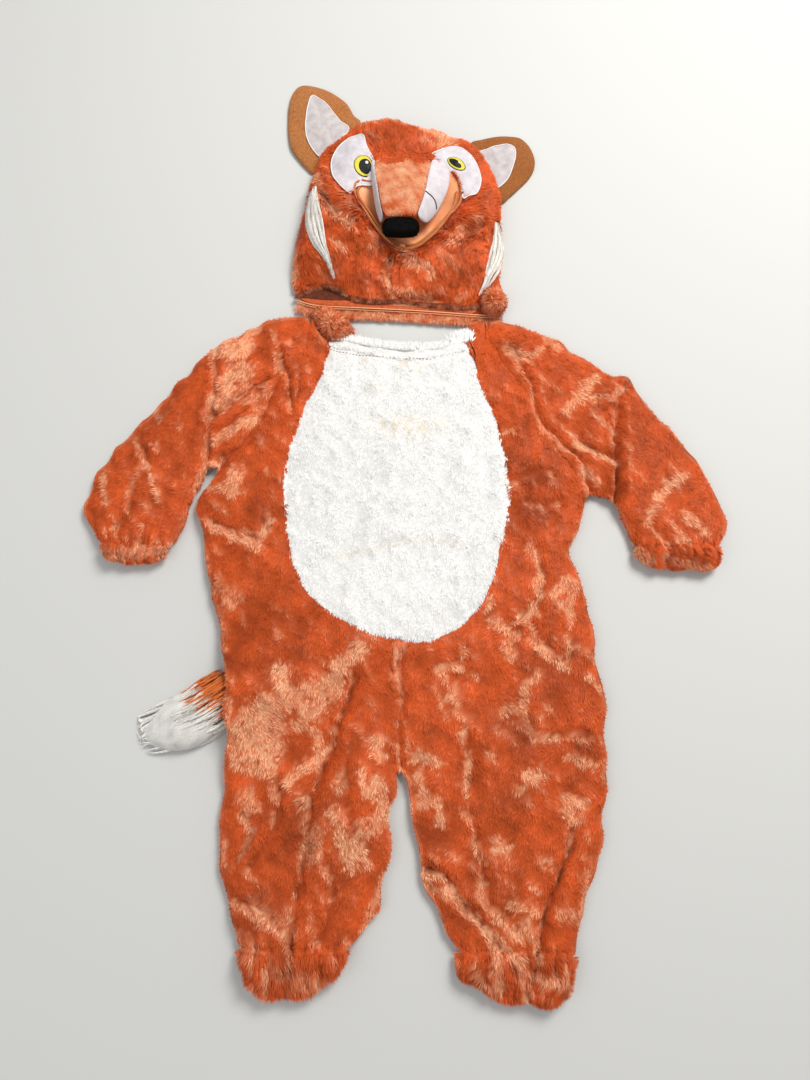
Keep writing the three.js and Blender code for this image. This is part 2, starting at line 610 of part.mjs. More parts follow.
// The backs meet at the centre back, and the left one passes over the tail
const centreBackSteps = outerLeft.length - 1 - legSteps;
const centreBack = edge(CENTRE_BACK, centreBackSteps);
const backShares = sharesAcross(ACROSS_BACK);
const backInnerLeft = chain(centreBack, innerLeft.slice(-legSteps - 1));
const backLeftNeck = [...NECK_LEFT.slice(0, 3), NECK_EDGE[2], CENTRE_BACK[0]];
const backLeftGrid = fillEdges(
  edgeAt(backLeftNeck, backShares),
  edgeAt(HEM_LEFT.stitch, backShares),
  outerLeft,
  backInnerLeft,
  backShares,
);
add('back_left', sheet(backLeftGrid, backTop, backBottom, UNDERSIDE_BEVEL), ORANGE);

const backRightShares = sharesAcross(ACROSS_BACK_RIGHT);
const backInnerRight = chain(centreBack, innerRight.slice(-legSteps - 1));
const backRightNeck = [...NECK_RIGHT.slice(0, 4), NECK_EDGE[5], CENTRE_BACK[0]];
const backRightGrid = fillEdges(
  edgeAt(backRightNeck, backRightShares),
  edgeAt(reversed(HEM_RIGHT.stitch), backRightShares),
  outerRight,
  backInnerRight,
  backRightShares,
);
add('back_right', sheet(backRightGrid, backTop, backBottom, UNDERSIDE_BEVEL), ORANGE);

// Raglan sleeves, each a front and a back cut from the neck to the cuff
function addSleeve(side, raglan, sleeve, edges) {
  const grid = fillEdges(raglan, edgeAt(sleeve.cuff, sleeveShares), edges.top, edges.under, sleeveShares);
  add(`sleeve_${side}_front`, sheet(grid, frontTop, frontBottom), ORANGE);
  const outline = [
    ...edges.top,
    ...edge(sleeve.cuff, 1).slice(1),
    ...reversed(edges.under).slice(1),
    ...reversed(raglan).slice(1, -1),
  ];
  add(`sleeve_${side}_back`, slab(outline, 0, BACK_CLOTH, UNDERSIDE_BEVEL), ORANGE);
}

addSleeve('left', outerLeft.slice(0, STRETCH_STEPS.shoulder + 1), SLEEVE_LEFT, sleeveLeft);
addSleeve('right', outerRight.slice(0, STRETCH_STEPS.shoulder + 1), SLEEVE_RIGHT, sleeveRight);

// Elastic casings: the front one is gathered, and its waves grow towards the free edge
function addCasing(name, stitch, free, gathers, rows) {
  const steps = gathers * GATHER_STEPS;
  const shares = sharesAcross(steps);
  const start = edgeAt(stitch, shares);
  const end = edgeAt(free, shares);
  const ends = [[start[0], end[0]], [start.at(-1), end.at(-1)]];
  const [sideA, sideB] = ends.map(([a, b]) => Array.from(
    { length: rows + 1 },
    (_, i) => new THREE.Vector2().lerpVectors(a, b, i / rows),
  ));
  const grid = fillEdges(start, end, sideA, sideB, shares);
  const across = new THREE.Vector2().subVectors(start.at(-1), start[0]);
  const wave = (x, y) => {
    const share = ((x - start[0].x) * across.x + (y - start[0].y) * across.y) / across.lengthSq();
    const fade = smooth(share, 0, 0.08) * (1 - smooth(share, 0.92, 1));
    return GATHER_HEIGHT * fade * (0.5 - 0.5 * Math.cos(2 * Math.PI * gathers * share));
  };
  const top = (x, y) => backTop(x, y) + LAYER_GAP + bodyAir(x, y) + wave(x, y)
    + FRONT_CLOTH * rimShare(rimDistance(x, y));
  const bottom = (x, y) => backTop(x, y) + LAYER_GAP + bodyAir(x, y) + 0.7 * wave(x, y);
  add(`${name}_front`, sheet(grid, top, bottom), ORANGE);
  const outline = [...edge(stitch, 1), ...reversed(edge(free, OUTLINE_STEPS))];
  add(`${name}_back`, slab(outline, 0, BACK_CLOTH, UNDERSIDE_BEVEL), ORANGE);
}

addCasing('cuff_left', SLEEVE_LEFT.cuff, SLEEVE_LEFT.cuffEdge, SLEEVE_GATHERS, 2);
addCasing('cuff_right', SLEEVE_RIGHT.cuff, SLEEVE_RIGHT.cuffEdge, SLEEVE_GATHERS, 2);
addCasing('leg_cuff_left', HEM_LEFT.stitch, HEM_LEFT.edge, LEG_GATHERS, 3);
addCasing('leg_cuff_right', HEM_RIGHT.stitch, HEM_RIGHT.edge, LEG_GATHERS, 3);

add('neck_roll', lump(NECK_ROLL, 0, NECK_ROLL_HEIGHT), ORANGE);

// Tail: rounded above and flat below, in an orange stretch and a white brush
const TAIL_SECTION = [
  { across: -1, up: 0 },
  { across: -0.97, up: 0.36 },
  { across: -0.72, up: 0.8 },
  { across: -0.35, up: 0.97 },
  { across: 0.35, up: 0.97 },
  { across: 0.72, up: 0.8 },
  { across: 0.97, up: 0.36 },
  { across: 1, up: 0 },
];

function tailRings(rows, cutBack) {
  return rows.map((row, i) => {
    const before = rows[Math.max(0, i - 1)];
    const after = rows[Math.min(rows.length - 1, i + 1)];
    const way = new THREE.Vector2(after.x - before.x, after.y - before.y).normalize();
    const shift = i === 0 ? cutBack : 0;
    return TAIL_SECTION.map(({ across, up }) => new THREE.Vector3(
      row.x - way.y * across * row.half + way.x * shift,
      row.y + way.x * across * row.half + way.y * shift,
      up * (row.height + (row.sewn ?? 0)),
    ));
  });
}

const TAIL_SEAM_GAP = 1.2;
add('tail', loft(tailRings(TAIL_ROWS, 0)), ORANGE);
add('tail_tip', loft(tailRings(TAIL_TIP_ROWS, TAIL_SEAM_GAP)), WHITE);

// The hood: its front swells over the hollow for the head
const HOOD_CROWN_STEPS = 9;
const HOOD_LEFT_STEPS = 6;
const HOOD_RIGHT_STEPS = 8;
const JAW_STEPS = 7;
const CHIN_STEPS = 4;
const hoodOutline = [
  ...edge(HOOD_LEFT_UPPER, 8),
  ...edge(HOOD_CROWN, 14),
  ...edge(HOOD_RIGHT_UPPER, 8),
  ...edge(HOOD_RIGHT_LOWER, 6),
  ...reversed(edge(HOOD_HEM_RIGHT, 8)),
  ...reversed(edge(HOOD_HEM_LEFT, 10)),
  ...reversed(edge(HOOD_LEFT_LOWER, 8)),
];

function hoodAir(x, y) {
  const most = THREE.MathUtils.lerp(HOOD_HEM_AIR, HOOD_AIR, smooth(y, 300, 385));
  return most * roundRise(distanceToOutline(hoodOutline, x, y), HOOD_AIR_REACH);
}

function hoodBottom(x, y) {
  const distance = distanceToOutline(hoodOutline, x, y);
  const fold = foldsAt(HOOD_FOLDS, x, y);
  return HOOD_BACK_CLOTH + LAYER_GAP + hoodAir(x, y) + Math.max(0, fold) * roundRise(distance, 12);
}

function hoodTop(x, y) {
  const distance = distanceToOutline(hoodOutline, x, y);
  const fold = foldsAt(HOOD_FOLDS, x, y) * roundRise(distance, 12);
  return HOOD_BACK_CLOTH + LAYER_GAP + hoodAir(x, y) + HOOD_CLOTH * rimShare(distance) + fold;
}

const hoodShares = sharesAcross(JAW_STEPS, 1.3);
const jawLeft = edgeAt(JAW_LEFT, hoodShares);
const jawRight = edgeAt(reversed(JAW_RIGHT), hoodShares);
const headOuter = chain(
  edge(HOOD_LEFT_UPPER, HOOD_LEFT_STEPS),
  edge(HOOD_CROWN, HOOD_CROWN_STEPS + 2),
  edge(HOOD_RIGHT_UPPER, HOOD_RIGHT_STEPS),
);
const headInner = chain(
  edge(FACE_LEFT, HOOD_LEFT_STEPS),
  edge(FACE_ROOT_LEFT, 1),
  edge(FACE_ROOT, HOOD_CROWN_STEPS),
  edge(FACE_ROOT_RIGHT, 1),
  edge(FACE_RIGHT, HOOD_RIGHT_STEPS),
);
const headGrid = fillEdges(
  jawLeft,
  jawRight,
  headOuter,
  headInner,
  hoodShares,
);
add('hood_head', sheet(headGrid, hoodTop, hoodBottom), ORANGE);

const neckShares = sharesAcross(8);
const hoodNeckLeftGrid = fillEdges(
  edgeAt(HOOD_LEFT_LOWER, neckShares),
  edgeAt(CHIN_SEAM, neckShares),
  chain(jawLeft, edge(FACE_CHIN_LEFT, CHIN_STEPS)),
  edge(HOOD_HEM_LEFT, JAW_STEPS + CHIN_STEPS),
  neckShares,
);
add('hood_neck_left', sheet(hoodNeckLeftGrid, hoodTop, hoodBottom), ORANGE);

const hoodNeckRightGrid = fillEdges(
  edgeAt(CHIN_SEAM, neckShares),
  edgeAt(HOOD_RIGHT_LOWER, neckShares),
  chain(edge(FACE_CHIN_RIGHT, CHIN_STEPS), reversed(jawRight)),
  edge(HOOD_HEM_RIGHT, JAW_STEPS + CHIN_STEPS),
  neckShares,
);
add('hood_neck_right', sheet(hoodNeckRightGrid, hoodTop, hoodBottom), ORANGE);

const hoodBackOutline = chain(
  headOuter,
  edge([HOOD_RIGHT_LOWER[0], HOOD_RIGHT_LOWER[1], HOOD_RIGHT_LOWER[2]], 4),
  reversed(edge(HOOD_BACK_HEM, 20)),
  reversed(edge(HOOD_LEFT_LOWER, 8)),
).slice(0, -1);
add('hood_back', slab(hoodBackOutline, 0, HOOD_BACK_CLOTH, UNDERSIDE_BEVEL), ORANGE);

const FACING_THICKNESS = 1.6;
const facingOutline = [...edge(HEM_FACING.upper, 14), ...reversed(edge(HEM_FACING.lower, 12))];
const facingFoot = HOOD_BACK_CLOTH + LAYER_GAP;
add('hood_hem_facing', slab(facingOutline, facingFoot, facingFoot + FACING_THICKNESS), LINING);
add('hood_corner_roll', lump(CORNER_ROLL, facingFoot, CORNER_ROLL_HEIGHT), ORANGE);

// Narrow binding round the open part of the face
const BINDING_SIDES = 6;
const BINDING_STEPS = 34;
const BINDING_OFFSET = 1;

function bindingGeometry() {
  const half = BINDING_STEPS / 2;
  const right = edge(FACE_RIGHT.slice(2), 8);
  const left = edge(FACE_LEFT, 9);
  const round = chain(
    reversed(left),
    edge(FACE_CHIN_LEFT, half / 2),
    edge(FACE_CHIN_RIGHT, half / 2),
    reversed(right),
  );
  const middle = new THREE.Vector2(0, 410);
  const line = round.map((p) => {
    const inwards = new THREE.Vector2().subVectors(middle, p).normalize();
    const q = p.clone().addScaledVector(inwards, BINDING_RADIUS + BINDING_OFFSET);
    return new THREE.Vector3(q.x, q.y, hoodTop(p.x, p.y) - HOOD_CLOTH / 2);
  });
  const path = new THREE.CatmullRomCurve3(line);
  const frames = path.computeFrenetFrames(BINDING_STEPS, false);
  const rings = [];
  for (let i = 0; i <= BINDING_STEPS; i += 1) {
    const centre = path.getPointAt(i / BINDING_STEPS);
    const ring = [];
    for (let k = 0; k < BINDING_SIDES; k += 1) {
      const angle = (2 * Math.PI * k) / BINDING_SIDES;
      ring.push(centre.clone()
        .addScaledVector(frames.normals[i], BINDING_RADIUS * Math.cos(angle))
        .addScaledVector(frames.binormals[i], BINDING_RADIUS * Math.sin(angle)));
    }
    rings.push(ring);
  }
  return loft(rings);
}

add('face_binding', bindingGeometry(), EAR_BROWN);

// Felt that lies on the hood follows its top, a little above it
function addOnHood(name, outer, inner, thickness, seat, rows, across) {
  const ends = [[outer[0], inner[0]], [outer.at(-1), inner.at(-1)]];
  const shares = sharesAcross(across);
  const grid = fillEdges(
    edgeAt(ends[0], shares),
    edgeAt(ends[1], shares),
    edge(outer, rows),
    edge(inner, rows),
    shares,
  );
  const foot = (x, y) => hoodTop(x, y) + seat;
  add(name, sheet(grid, (x, y) => foot(x, y) + thickness, foot), WHITE);
}

addOnHood('eye_patch_left', PATCH_LEFT.outer, PATCH_LEFT.inner, FELT, SEAT, 8, 5);
addOnHood('eye_patch_right', PATCH_RIGHT.outer, PATCH_RIGHT.inner, FELT, SEAT, 8, 5);
addOnHood('cheek_lock_left', LOCK_LEFT.outer, LOCK_LEFT.inner, LOCK_THICKNESS, LOCK_SEAT, 10, 3);
addOnHood('cheek_lock_right', LOCK_RIGHT.outer, LOCK_RIGHT.inner, LOCK_THICKNESS, LOCK_SEAT, 8, 3);

const EYE_STEPS = 20;

function addEye(name, eye) {
  const turn = THREE.MathUtils.degToRad(eye.turn);
  const ring = Array.from({ length: EYE_STEPS }, (_, k) => {
    const angle = (2 * Math.PI * k) / EYE_STEPS;
    const long = eye.halfLong * Math.cos(angle);
    const short = eye.halfShort * Math.sin(angle);
    return new THREE.Vector2(
      eye.x + long * Math.cos(turn) - short * Math.sin(turn),
      eye.y + long * Math.sin(turn) + short * Math.cos(turn),
    );
  });
  const foot = (p) => hoodTop(p.x, p.y) + SEAT + FELT + SEAT;
  const rings = [0, EYE_FELT].map((rise) => ring.map((p) => new THREE.Vector3(p.x, p.y, foot(p) + rise)));
  add(name, loft(rings), YELLOW, 0.6);
}

addEye('eye_left', EYE_LEFT);
addEye('eye_right', EYE_RIGHT);

// Snout: an orange top over the stuffing, a white wall on each side and a black nose
function snoutCorner(row, side) {
  const isRight = side === 'right';
  const crest = new THREE.Vector2(isRight ? row.topRight : row.topLeft, row.top);
  const foot = new THREE.Vector2(isRight ? row.footRight : row.footLeft, row.foot);
  const down = new THREE.Vector2().subVectors(foot, crest).normalize();
  const inward = isRight ? new THREE.Vector2(down.y, -down.x) : new THREE.Vector2(-down.y, down.x);
  return { crest, foot, down, inward };
}

function snoutTopRing(row) {
  const left = snoutCorner(row, 'left');
  const right = snoutCorner(row, 'right');
  const deep = SNOUT_SIDE_WALL + LAYER_GAP;
  const moved = (point, way, distance) => point.clone().addScaledVector(way, distance);
  const width = row.topRight - row.topLeft;
  const dome = [0.25, 0.5, 0.75].map((share) => new THREE.Vector2(
    row.topLeft + width * share,
    row.top + SNOUT_CROWN * 4 * share * (1 - share),
  ));
  const section = [
    left.crest,
    ...dome,
    right.crest,
    moved(right.crest, right.inward, deep),
    moved(right.foot, right.inward, deep),
    moved(left.foot, left.inward, deep),
    moved(left.crest, left.inward, deep),
  ];
  return section.map((p) => new THREE.Vector3(p.x, row.y, p.y));
}

function snoutSideRing(row, side) {
  const { crest, foot, down, inward } = snoutCorner(row, side);
  const start = crest.clone().addScaledVector(down, 2 * LAYER_GAP);
  const belly = start.clone().lerp(foot, 0.5).addScaledVector(inward, -1.5);
  const section = [
    start,
    belly,
    foot,
    foot.clone().addScaledVector(inward, SNOUT_SIDE_WALL),
    start.clone().addScaledVector(inward, SNOUT_SIDE_WALL),
  ];
  return section.map((p) => new THREE.Vector3(p.x, row.y, p.y));
}

add('snout_top', loft(SNOUT_ROWS.map(snoutTopRing)), LIGHT_ORANGE);
add('snout_side_left', loft(SNOUT_ROWS.map((row) => snoutSideRing(row, 'left'))), WHITE);
add('snout_side_right', loft(SNOUT_ROWS.map((row) => snoutSideRing(row, 'right'))), WHITE);

function noseGeometry() {
  const bend = (value) => Math.sign(value) * Math.abs(value) ** NOSE.squareness;
  const rings = [];
  const levels = 8;
  const sides = 16;
  for (let i = 0; i <= levels; i += 1) {
    const tilt = THREE.MathUtils.lerp(-0.47, 0.47, i / levels) * Math.PI;
    const ring = [];
    for (let k = 0; k < sides; k += 1) {
      const angle = (2 * Math.PI * k) / sides;
      ring.push(new THREE.Vector3(
        NOSE.x + NOSE.halfWidth * bend(Math.cos(tilt)) * bend(Math.cos(angle)),
        NOSE.y + NOSE.halfLength * bend(Math.cos(tilt)) * bend(Math.sin(angle)),
        NOSE.z + NOSE.halfHeight * bend(Math.sin(tilt)),
      ));
    }
    rings.push(ring);
  }
  return loft(rings);
}

add('nose', noseGeometry(), BLACK);

// Ears: stiff felt that lies out from the hood, with a white inner on top
const hoodDistance = (x, y) => distanceToOutline(hoodOutline, x, y);
const earFoot = (x, y) => EAR_BASE_LIFT * (1 - smooth(hoodDistance(x, y), 0, EAR_LIFT_REACH));
const earTop = (x, y) => earFoot(x, y) + EAR_FELT;

function earGrid(ear, rows, across) {
  const shares = sharesAcross(across);
  const tip = [ear.upper.at(-1), ear.lower.at(-1)];
  return fillEdges(edgeAt(ear.base, shares), edgeAt(tip, shares), edge(ear.upper, rows), edge(ear.lower, rows), shares);
}

function addEar(side, outer, inner) {
  add(`ear_${side}`, sheet(earGrid(outer, 8, 6), earTop, earFoot), EAR_BROWN);
  const foot = (x, y) => earTop(x, y) + SEAT;
  const top = (x, y) => foot(x, y) + FELT;
  add(`ear_${side}_inner`, sheet(earGrid(inner, 6, 4), top, foot), WHITE);
}

addEar('left', EAR_LEFT, EAR_LEFT_INNER);
addEar('right', EAR_RIGHT, EAR_RIGHT_INNER);

export default costume;
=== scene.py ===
"""A small child's fox costume laid out flat: cloth, pile, sewing and the hood's face.

All tables are in millimetres in the garment's own coordinates, whose origin is the middle
of the belly. +X is to the right, +Y runs up to the hood and +Z is up.
"""
import math

import bmesh
import bpy
import numpy as np
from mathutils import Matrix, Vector
from mathutils.bvhtree import BVHTree


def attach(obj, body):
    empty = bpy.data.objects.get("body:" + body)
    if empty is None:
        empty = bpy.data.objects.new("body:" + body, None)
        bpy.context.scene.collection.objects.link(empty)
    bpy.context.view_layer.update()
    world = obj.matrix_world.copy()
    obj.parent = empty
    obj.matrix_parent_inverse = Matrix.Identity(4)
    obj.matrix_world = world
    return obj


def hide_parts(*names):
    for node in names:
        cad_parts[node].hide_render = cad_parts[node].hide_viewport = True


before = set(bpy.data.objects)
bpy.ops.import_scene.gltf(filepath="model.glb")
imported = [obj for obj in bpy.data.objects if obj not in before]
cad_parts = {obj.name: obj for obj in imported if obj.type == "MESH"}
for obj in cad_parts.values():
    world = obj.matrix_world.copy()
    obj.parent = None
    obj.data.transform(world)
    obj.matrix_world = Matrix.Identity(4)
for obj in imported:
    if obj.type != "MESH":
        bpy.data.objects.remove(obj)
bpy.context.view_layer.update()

MM = 0.001
UP = (0.0, 0.0, 1.0)
GARMENT_SHIFT = np.array([0.3, -58.7, 0.0])
FLOOR_CLEARANCE = 0.4
CLOTH_CLEARANCE = 0.05

# Linear colours of the pile and the cloths
ORANGE_ROOT = (0.46, 0.055, 0.010)
ORANGE_MID = (0.60, 0.088, 0.017)
ORANGE_TIP = (0.68, 0.118, 0.027)
# Colour of the painted highlights on the pile
HIGHLIGHT_PEACH = (1.0, 0.55, 0.31)
CREAM_ROOT = (0.80, 0.775, 0.73)
CREAM_TIP = (0.95, 0.945, 0.93)
# Painted shade of the hair under the hood's lower edge
OVERHANG_DARK = (0.11, 0.024, 0.010)
TAIL_ORANGE = (0.82, 0.21, 0.050)
STAIN = (0.80, 0.66, 0.42)
WHITE_ROOT = (0.84, 0.80, 0.73)
WHITE_TIP = (0.98, 0.96, 0.92)
BLACK_PILE = (0.006, 0.005, 0.005)


# Arrays and random fields


def normalised(vectors):
    length = np.linalg.norm(vectors, axis=-1, keepdims=True)
    return vectors / np.maximum(length, 1e-9)


def smoothstep(value, low, high):
    share = np.clip((value - low) / (high - low), 0.0, 1.0)
    return share * share * (3 - 2 * share)


def mix(a, b, share):
    share = np.asarray(share)[..., None]
    return np.asarray(a) * (1 - share) + np.asarray(b) * share


def field(x, y, wavelength, seed, stretch=1.0, turn=0.0):
    """A smooth random field of about -1 to 1, drawn out along a direction by stretch."""
    rng = np.random.default_rng(seed)
    along = x * math.cos(turn) + y * math.sin(turn)
    across = y * math.cos(turn) - x * math.sin(turn)
    total = np.zeros(np.shape(x))
    waves = 16
    for _ in range(waves):
        angle = rng.uniform(0, 2 * math.pi)
        pitch = wavelength * rng.uniform(0.6, 1.6)
        phase = rng.uniform(0, 2 * math.pi)
        run = along * math.cos(angle) / stretch + across * math.sin(angle)
        total += np.sin(run * 2 * math.pi / pitch + phase)
    return total / math.sqrt(waves)


# Meshes in garment millimetres, written to Blender in metres


def to_frame(points):
    return (np.asarray(points, float).reshape(-1, 3) + GARMENT_SHIFT) * MM


def from_frame(points):
    return np.asarray(points, float).reshape(-1, 3) / MM - GARMENT_SHIFT


def write_mesh(name, points, faces, tones=None, normals=None):
    """faces is an array of triangles or quads; tones and normals are for each point."""
    faces = np.asarray(faces, np.int32)
    sides = faces.shape[1]
    mesh = bpy.data.meshes.new(name)
    mesh.vertices.add(len(points))
    mesh.vertices.foreach_set("co", to_frame(points).astype(np.float32).ravel())
    mesh.loops.add(faces.size)
    mesh.loops.foreach_set("vertex_index", faces.ravel())
    mesh.polygons.add(len(faces))
    mesh.polygons.foreach_set("loop_start", np.arange(0, faces.size, sides, dtype=np.int32))
    mesh.polygons.foreach_set("use_smooth", np.ones(len(faces), bool))
    mesh.update(calc_edges=True)
    if tones is not None:
        write_tones(mesh, tones)
    if normals is not None:
        mesh.normals_split_custom_set_from_vertices(normals)
    return mesh


def write_tones(mesh, tones):
    layer = mesh.color_attributes.new("tone", "FLOAT_COLOR", "POINT")
    rgba = np.ones((len(mesh.vertices), 4), np.float32)
    rgba[:, :3] = tones
    layer.data.foreach_set("color", rgba.ravel())


def place(name, mesh, material):
    piece = bpy.data.objects.new(name, mesh)
    bpy.context.scene.collection.objects.link(piece)
    mesh.materials.clear()
    mesh.materials.append(material)
    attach(piece, "root")
    return piece


LEAST_UPWARD = -0.25
WELD_DISTANCE = 0.02 * MM
FACE_ANGLE = 0.9
SHAPE_ANGLE = 1.4


class Shell:
    """A CAD node's form, welded and rounded, as arrays in garment millimetres."""

    def __init__(self, node, levels=1):
        work = bmesh.new()
        work.from_mesh(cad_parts[node].data)
        bmesh.ops.remove_doubles(work, verts=work.verts, dist=WELD_DISTANCE)
        bmesh.ops.recalc_face_normals(work, faces=work.faces)
        bmesh.ops.join_triangles(
            work, faces=work.faces, angle_face_threshold=FACE_ANGLE, angle_shape_threshold=SHAPE_ANGLE
        )
        rough = bpy.data.meshes.new(node + "_rough")
        work.to_mesh(rough)
        work.free()
        helper = bpy.data.objects.new(node + "_rough", rough)
        bpy.context.scene.collection.objects.link(helper)
        rounding = helper.modifiers.new("round", "SUBSURF")
        rounding.levels = levels
        rounding.render_levels = levels
        depsgraph = bpy.context.evaluated_depsgraph_get()
        self.mesh = bpy.data.meshes.new_from_object(helper.evaluated_get(depsgraph))
        bpy.data.objects.remove(helper)
        bpy.data.meshes.remove(rough)
        self.node = node
        self.mesh.name = node + "_cloth"
        self.mesh.polygons.foreach_set("use_smooth", np.ones(len(self.mesh.polygons), bool))
        self.read()

    def read(self):
        count = len(self.mesh.vertices)
        raw = np.empty(count * 3, np.float32)
        self.mesh.vertices.foreach_get("co", raw)
        self.points = from_frame(raw)
        normals = np.empty(count * 3, np.float32)
        self.mesh.vertices.foreach_get("normal", normals)
        self.normals = normals.reshape(-1, 3).astype(float)
        self.mesh.calc_loop_triangles()
        corners = np.empty(len(self.mesh.loop_triangles) * 3, np.int32)
        self.mesh.loop_triangles.foreach_get("vertices", corners)
        self.triangles = corners.reshape(-1, 3)

    def move(self, points):
        self.mesh.vertices.foreach_set("co", to_frame(points).astype(np.float32).ravel())
        self.mesh.update()

    def lower(self, depth):
        """Makes room for the pile, which reaches up to the CAD form."""
        points = self.points.copy()
        points[:, 2] -= depth * smoothstep(self.normals[:, 2], 0.0, 0.5)
        points[:, 2] = np.maximum(points[:, 2], CLOTH_CLEARANCE)
        self.move(points)
        self.read()

    def emboss(self):
        """Adds the creases and swells to what is shown; the pile adds them for itself."""
        points, _ = with_relief(self.points, self.normals)
        points[:, 2] = np.maximum(points[:, 2], CLOTH_CLEARANCE)
        self.move(points)

    def sample(self, count, rng, keep=None):
        """Random points on the faces that look up or out, with their normals."""
        corners = self.points[self.triangles]
        cross = np.cross(corners[:, 1] - corners[:, 0], corners[:, 2] - corners[:, 0])
        area = np.linalg.norm(cross, axis=1) / 2
        area = area * (cross[:, 2] / np.maximum(2 * area, 1e-9) > LEAST_UPWARD)
        if keep is not None:
            area = area * keep(corners.mean(axis=1), normalised(cross))
        chosen = rng.choice(len(area), size=count, p=area / area.sum())
        first = np.sqrt(rng.random(count))
        second = rng.random(count)
        weights = np.stack([1 - first, first * (1 - second), first * second], axis=1)
        spots = (corners[chosen] * weights[..., None]).sum(axis=1)
        normals = (self.normals[self.triangles[chosen]] * weights[..., None]).sum(axis=1)
        return spots, normalised(normals)


# Pile
BEND_AT = 0.45


def diamonds(root, normal, nap, length, width, lift, droop, roll):
    """Short tufts of two triangles each, which rise along the nap and bend over."""
    along = normalised(nap - normal * (nap * normal).sum(axis=1, keepdims=True))
    rise = lift[:, None]
    after = (lift - droop)[:, None]
    first = np.cos(rise) * along + np.sin(rise) * normal
    second = np.cos(after) * along + np.sin(after) * normal
    side = np.cross(normal, along)
    side = side * np.cos(roll)[:, None] + normal * np.sin(roll)[:, None]
    middle = root + first * (length * BEND_AT)[:, None]
    tip = middle + second * (length * (1 - BEND_AT))[:, None]
    half = side * (width / 2)[:, None]
    points = np.stack([root, middle - half, middle + half, tip], axis=1).reshape(-1, 3)
    base = np.arange(len(root), dtype=np.int32)[:, None] * 4
    faces = np.concatenate([base + [0, 1, 2], base + [1, 3, 2]], axis=1).reshape(-1, 3)
    return points, faces


def strands(paths, width, flat_to):
    """Long hairs: paths is hairs by points by 3, and each hair narrows to its tip."""
    hairs, steps, _ = paths.shape
    heading = normalised(np.gradient(paths, axis=1))
    side = normalised(np.cross(flat_to[:, None, :], heading))
    taper = np.sqrt(np.linspace(1.0, 0.04, steps))[None, :, None]
    half = side * taper * (width / 2)[:, None, None]
    edges = np.stack([paths - half, paths + half], axis=2)
    points = edges.reshape(-1, 3)
    base = (np.arange(hairs) * steps * 2)[:, None]
    ladder = (np.arange(steps - 1) * 2)[None, :]
    corner = (base + ladder).reshape(-1, 1)
    faces = np.concatenate([corner, corner + 1, corner + 3, corner + 2], axis=1)
    return points, faces.astype(np.int32)


def above_floor(points):
    points[:, 2] = np.maximum(points[:, 2], FLOOR_CLEARANCE)
    return points


def tuft_tones(root, middle, tip):
    return np.stack([root, middle, middle, tip], axis=1).reshape(-1, 3)
